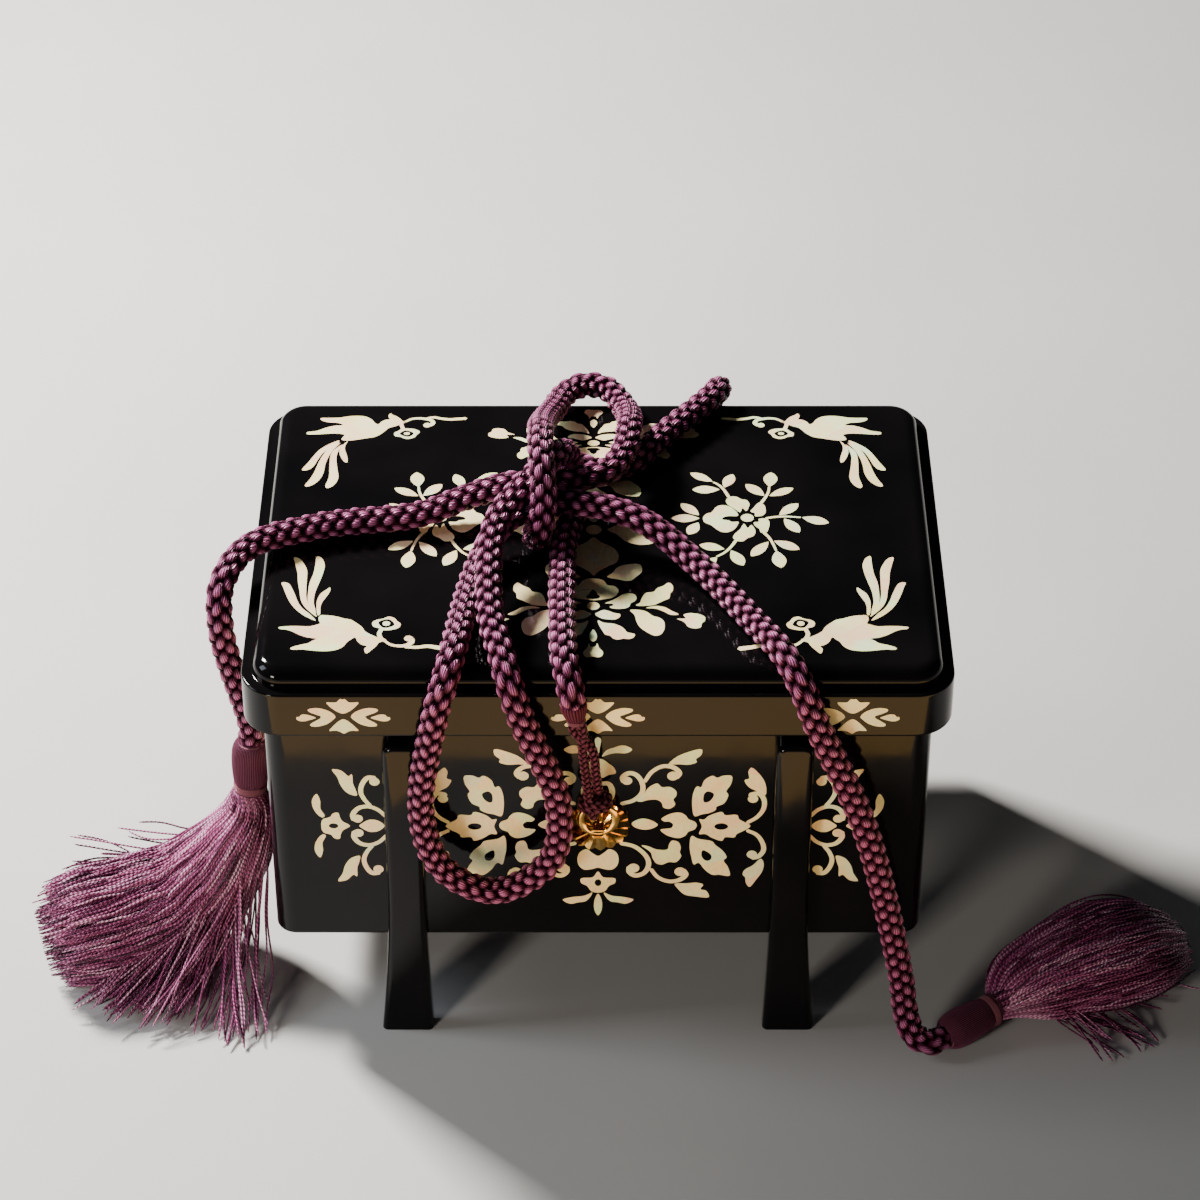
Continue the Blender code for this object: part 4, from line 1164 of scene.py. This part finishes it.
# The right half of the scrolling flower, as far as the leg
CHEST_HALF = motif(
    shape(2.8, 123.75, 4.4, 126.6, 6.9, 127.8, 9.4, 128.75, 11.25, 128.4, 13.1, 126.9, 11.25, 125.3,
          7.5, 125.3, 5, 124.7),
    stroke((2.5, 111.5, 5, 111.5, 6.2, 109, 6.2, 106.5, 5.5, 104.5), 1.8, 2.2),
    stroke((9.6, 102.4, 13.75, 104, 16.6, 107.5, 16.6, 111.9, 14.4, 115.6, 11.9, 116.25, 9.9, 114.4,
           10.3, 112.4), 1.6, 2),
    disc(11.4, 112.8, 1.8),
    stroke((17.5, 112.5, 20, 116.9, 23.75, 119.4, 27.5, 118.75, 29.4, 116.25, 28.3, 114.4), 1.4, 2.1),
    disc(27.2, 115, 2),
    shape(25.6, 120.1, 28.1, 123.4, 31.9, 125.6, 36.9, 127, 36.75, 124.4, 35, 122.5, 35.3, 121.25,
          32.5, 120.1, 28.75, 120.3),
    shape(14.7, 103.75, 16.9, 106.25, 19.1, 110, 21.9, 111.6, 23.4, 110, 26.25, 110, 28.4, 108.1, 28.4, 105.9,
          27.5, 104.4, 28.1, 101.9, 26.25, 100.1, 24.1, 100.6, 23.4, 102.8, 21.9, 104.1, 18.75, 104.1,
          16.25, 103.25),
    shape(13.1, 93.4, 16.25, 95.5, 19.4, 95, 22.2, 92.7, 20, 90.9, 16.9, 90.5, 13.75, 91.9),
    shape(16.6, 83.1, 18.75, 82.8, 21.9, 81.25, 25.6, 81.25, 26.25, 83.75, 27.2, 85.3, 29.4, 84.7, 30.3, 81.9,
          30, 80, 30.5, 78.1, 28.75, 75.3, 26.25, 75.3, 23.75, 74.1, 21.9, 74.7, 20.6, 76.9, 19.7, 80),
    stroke((9.4, 84.1, 13.75, 82.8, 16.9, 80, 18.75, 76.9, 19.1, 73.75, 17.5, 70.2, 14.4, 69, 12.4, 70.8,
           12.4, 73), 1.6, 2),
    disc(13.8, 72.5, 2.1),
    stroke((20, 71.9, 22.5, 68.1, 26.25, 66.25, 30, 66.9, 32.2, 69.4, 31.25, 71.4), 1.4, 2.1),
    disc(30.2, 70.8, 2),
    shape(28.4, 65, 32.5, 65.3, 36.25, 65.6, 38.4, 64.7, 37.5, 62.5, 39.4, 61.9, 40.5, 58.75, 35.6, 59.1,
          31.9, 60, 29.7, 62.5),
    shape(3.4, 60.9, 6.25, 59.4, 10.6, 58.75, 13.9, 57.5, 11.25, 55.6, 8.4, 56.25, 5.6, 56.9),
    shape(54.1, 118.75, 56.9, 115.9, 58.75, 112.5, 59.5, 108.75, 59.1, 106.25, 56.25, 108.1, 53.4, 110,
          51.9, 113.1, 53.4, 113.9, 53.1, 116.9),
    disc(55, 104.6, 1.8),
    stroke((54.1, 106.4, 56.9, 107, 58.75, 104.4, 58.75, 100, 56.6, 96.25, 53.4, 93.75), 2, 1.4),
    stroke((53.4, 90, 56.6, 88.1, 58.75, 84.4, 59.2, 80.8, 57.5, 78, 55.4, 77.4), 1.4, 2),
    disc(55.2, 78.9, 1.8),
    shape(58.4, 76.9, 59.4, 75, 59.1, 71.25, 56.9, 66.9, 54.7, 63.6, 53.4, 65.6, 53.1, 68.1, 52.2, 69.4,
          52.8, 71.6, 55.6, 73.75),
    shape(23.4, 95.3, 25, 96.9, 27.5, 98.1, 30, 98.25, 31.9, 96.9, 32.8, 95.3, 35, 94.1, 35.75, 92.5,
          35, 90.6, 32.8, 89.4, 31.9, 87.8, 30, 86.6, 27.5, 86.9, 25, 88.1, 23.1, 90.4, 25.2, 90.9,
          26.9, 91.25, 27.5, 92.8, 26.25, 94.1, 24.4, 94.2),
    (shape(36.6, 95.3, 38.1, 95.1, 40, 96.9, 44.4, 98.6, 45.4, 97.2, 49.7, 97.2, 50.4, 95.3, 54.4, 92.2,
           52.2, 90, 49.7, 88.4, 49, 86.9, 45.6, 86.9, 44.7, 85.3, 41.25, 86.6, 38.75, 88.4, 36.6, 88.4,
           37.5, 91.9), [disc(44.25, 91.9, 2.4, 1.5)]),
    (shape(35, 96.6, 34.1, 100, 34.25, 106.9, 35.6, 110.3, 36.9, 109.9, 38.1, 113.1, 40.9, 115.1, 42.4, 114.2,
           44.4, 115.1, 47.4, 115, 47.2, 111.25, 45.7, 108, 46.4, 106.6, 45, 102.5, 42.4, 100.9, 42.2, 99.6,
           40, 98.1, 37.5, 97.5), [shape(38.1, 103.1, 38.1, 106.9, 39.4, 108, 41.4, 106.9, 40.9, 104.7,
           39.4, 103.1)]),
    (shape(34.1, 87.6, 36.25, 86.25, 41.25, 85, 42.3, 83.4, 45, 80.6, 46.4, 77.5, 45.4, 76.1, 46.9, 73.1,
           47.6, 68.9, 43.75, 69.4, 41.6, 69.3, 38.75, 71.9, 36.6, 75, 35, 74.2, 34.1, 77.5, 33.4, 82.5),
           [shape(38.1, 80.9, 40.9, 78.75, 40.9, 76.6, 39.4, 75.9, 37.8, 77.5, 37.6, 80)]),
)

# The half flower beyond the leg, the same above and below its middle line
SIDE_MIDDLE = 92.2
CHEST_SIDE_UPPER = motif(
    disc(78.4, 112.4, 1.8),
    stroke((78.3, 114, 80.6, 114.2, 82.5, 111.7, 83.3, 107.8, 82.2, 104.4, 80.3, 101.5), 2, 1.4),
    shape(84.7, 106.1, 87.8, 107.2, 90, 110.5, 91.1, 114.4, 92.8, 118, 89.7, 117.5, 87.2, 115, 86.1, 115.8,
          85.8, 111.6, 85, 108.8),
    stroke((75.1, 96.7, 77.8, 99.7, 81.1, 101.1, 84.4, 100.3, 86.4, 97.4, 86.1, 95), 1.4, 2),
    disc(84.8, 95.5, 1.8),
    shape(98.6, 106.9, 100.3, 103.9, 99.7, 99.4, 97.2, 96.1, 96.2, 96.7, 97.5, 100, 97.5, 103.9),
)
CHEST_SIDE = motif(
    *CHEST_SIDE_UPPER,
    *flip_y(CHEST_SIDE_UPPER, SIDE_MIDDLE),
    mirrored(1, SIDE_MIDDLE, 75.6, 92.2, 77.8, 94.6, 80.8, 95, 83.1, 93.6, 84.4, 92.2),
    (mirrored(1, SIDE_MIDDLE, 87.6, 92.2, 90.2, 94.4, 91, 96.3, 91.4, 98.1, 92.4, 98.3, 93.5, 97.7,
              94.2, 96.5, 95.3, 95.9, 96.6, 95.5, 97.4, 94.2, 97.6, 92.2),
     [disc(93.3, 92.2, 1.65, 1.15)]),
)

CHEST_RIGHT = moved([*CHEST_HALF, *CHEST_SIDE], -1.4, 0)
CHEST_FRONT = motif(
    *CHEST_RIGHT,
    *flip_x(CHEST_RIGHT, 0),
    mirrored(0, 0, 0, 132.4, 1, 131.6, 0.7, 128, 0, 123.9),
    mirrored(0, 0, 0, 122.9, 1.8, 122.4, 3.6, 120.7, 5.4, 118.9, 6.1, 116.25, 3.6, 115.4, 1.4, 114.1,
             0, 116.4),
    shape(4, 81.4, 6.4, 79.8, 7.2, 76.9, 6.7, 73.75, 4.9, 71.8, 2.2, 72, 0, 72.7, -2.2, 72, -4.9, 71.8,
          -6.7, 73.75, -7.2, 76.9, -6.4, 79.8, -4, 81.4, -2, 79.6, 0, 78.2, 2, 79.6),
    mirrored(0, 0, 0, 60.4, 1.3, 57, 1.2, 52.5, 0, 50),
    (mirrored(0, 0, 0, 70.9, 1.8, 68.2, 6, 67.6, 5.9, 65.4, 3.9, 64.1, 2.4, 61.6, 0, 60.9),
     [disc(0, 65.6, 1.2, 1.6)]),
)

LID_INLAY_MIDDLE = -1.5
lid_shapes = [*FRONT_BIRD, *BACK_BIRD, *SPRAY]
lid_shapes += flip_x(lid_shapes, LID_INLAY_MIDDLE)
lid_shapes += [*CROSS, *moved(flip_y(CROSS, 0), 0, 19.6, 1, 0.75), *middle_flower()]
inlay("lid_inlay", lid_shapes, lambda x, y: (x, y, LID_TOP + FLUSH))

rim_middle, end_middle = (RIM_BOTTOM + RIM_TOP) / 2, 95
rim_shapes = [s for x in (-86, 0, 86) for s in moved(RIM_FLOWER, x, rim_middle)]
rim_end_shapes = [s for x in (-44, 44) for s in moved(RIM_FLOWER, x, rim_middle)]
chest_end_shapes = [
    s for x, size in ((0, 1.7), (-38, 1.1), (38, 1.1)) for s in moved(RIM_FLOWER, x, end_middle, size, size)
]
for face, name, end_name in ((-1, "front", "left"), (1, "back", "right")):
    rim, wall = face * (LID_DEPTH / 2 + FLUSH), face * (LID_DEPTH / 2 - BODY_INSET + FLUSH)
    rim_end, wall_end = face * (LID_WIDTH / 2 + FLUSH), face * (LID_WIDTH / 2 - BODY_INSET + FLUSH)
    inlay(f"rim_inlay_{name}", rim_shapes, lambda a, z: (-face * a, rim, z))
    inlay(f"chest_inlay_{name}", CHEST_FRONT, lambda a, z: (-face * a, wall, z))
    inlay(f"rim_inlay_{end_name}", rim_end_shapes, lambda a, z: (rim_end, face * a, z))
    inlay(f"chest_inlay_{end_name}", chest_end_shapes, lambda a, z: (wall_end, face * a, z))
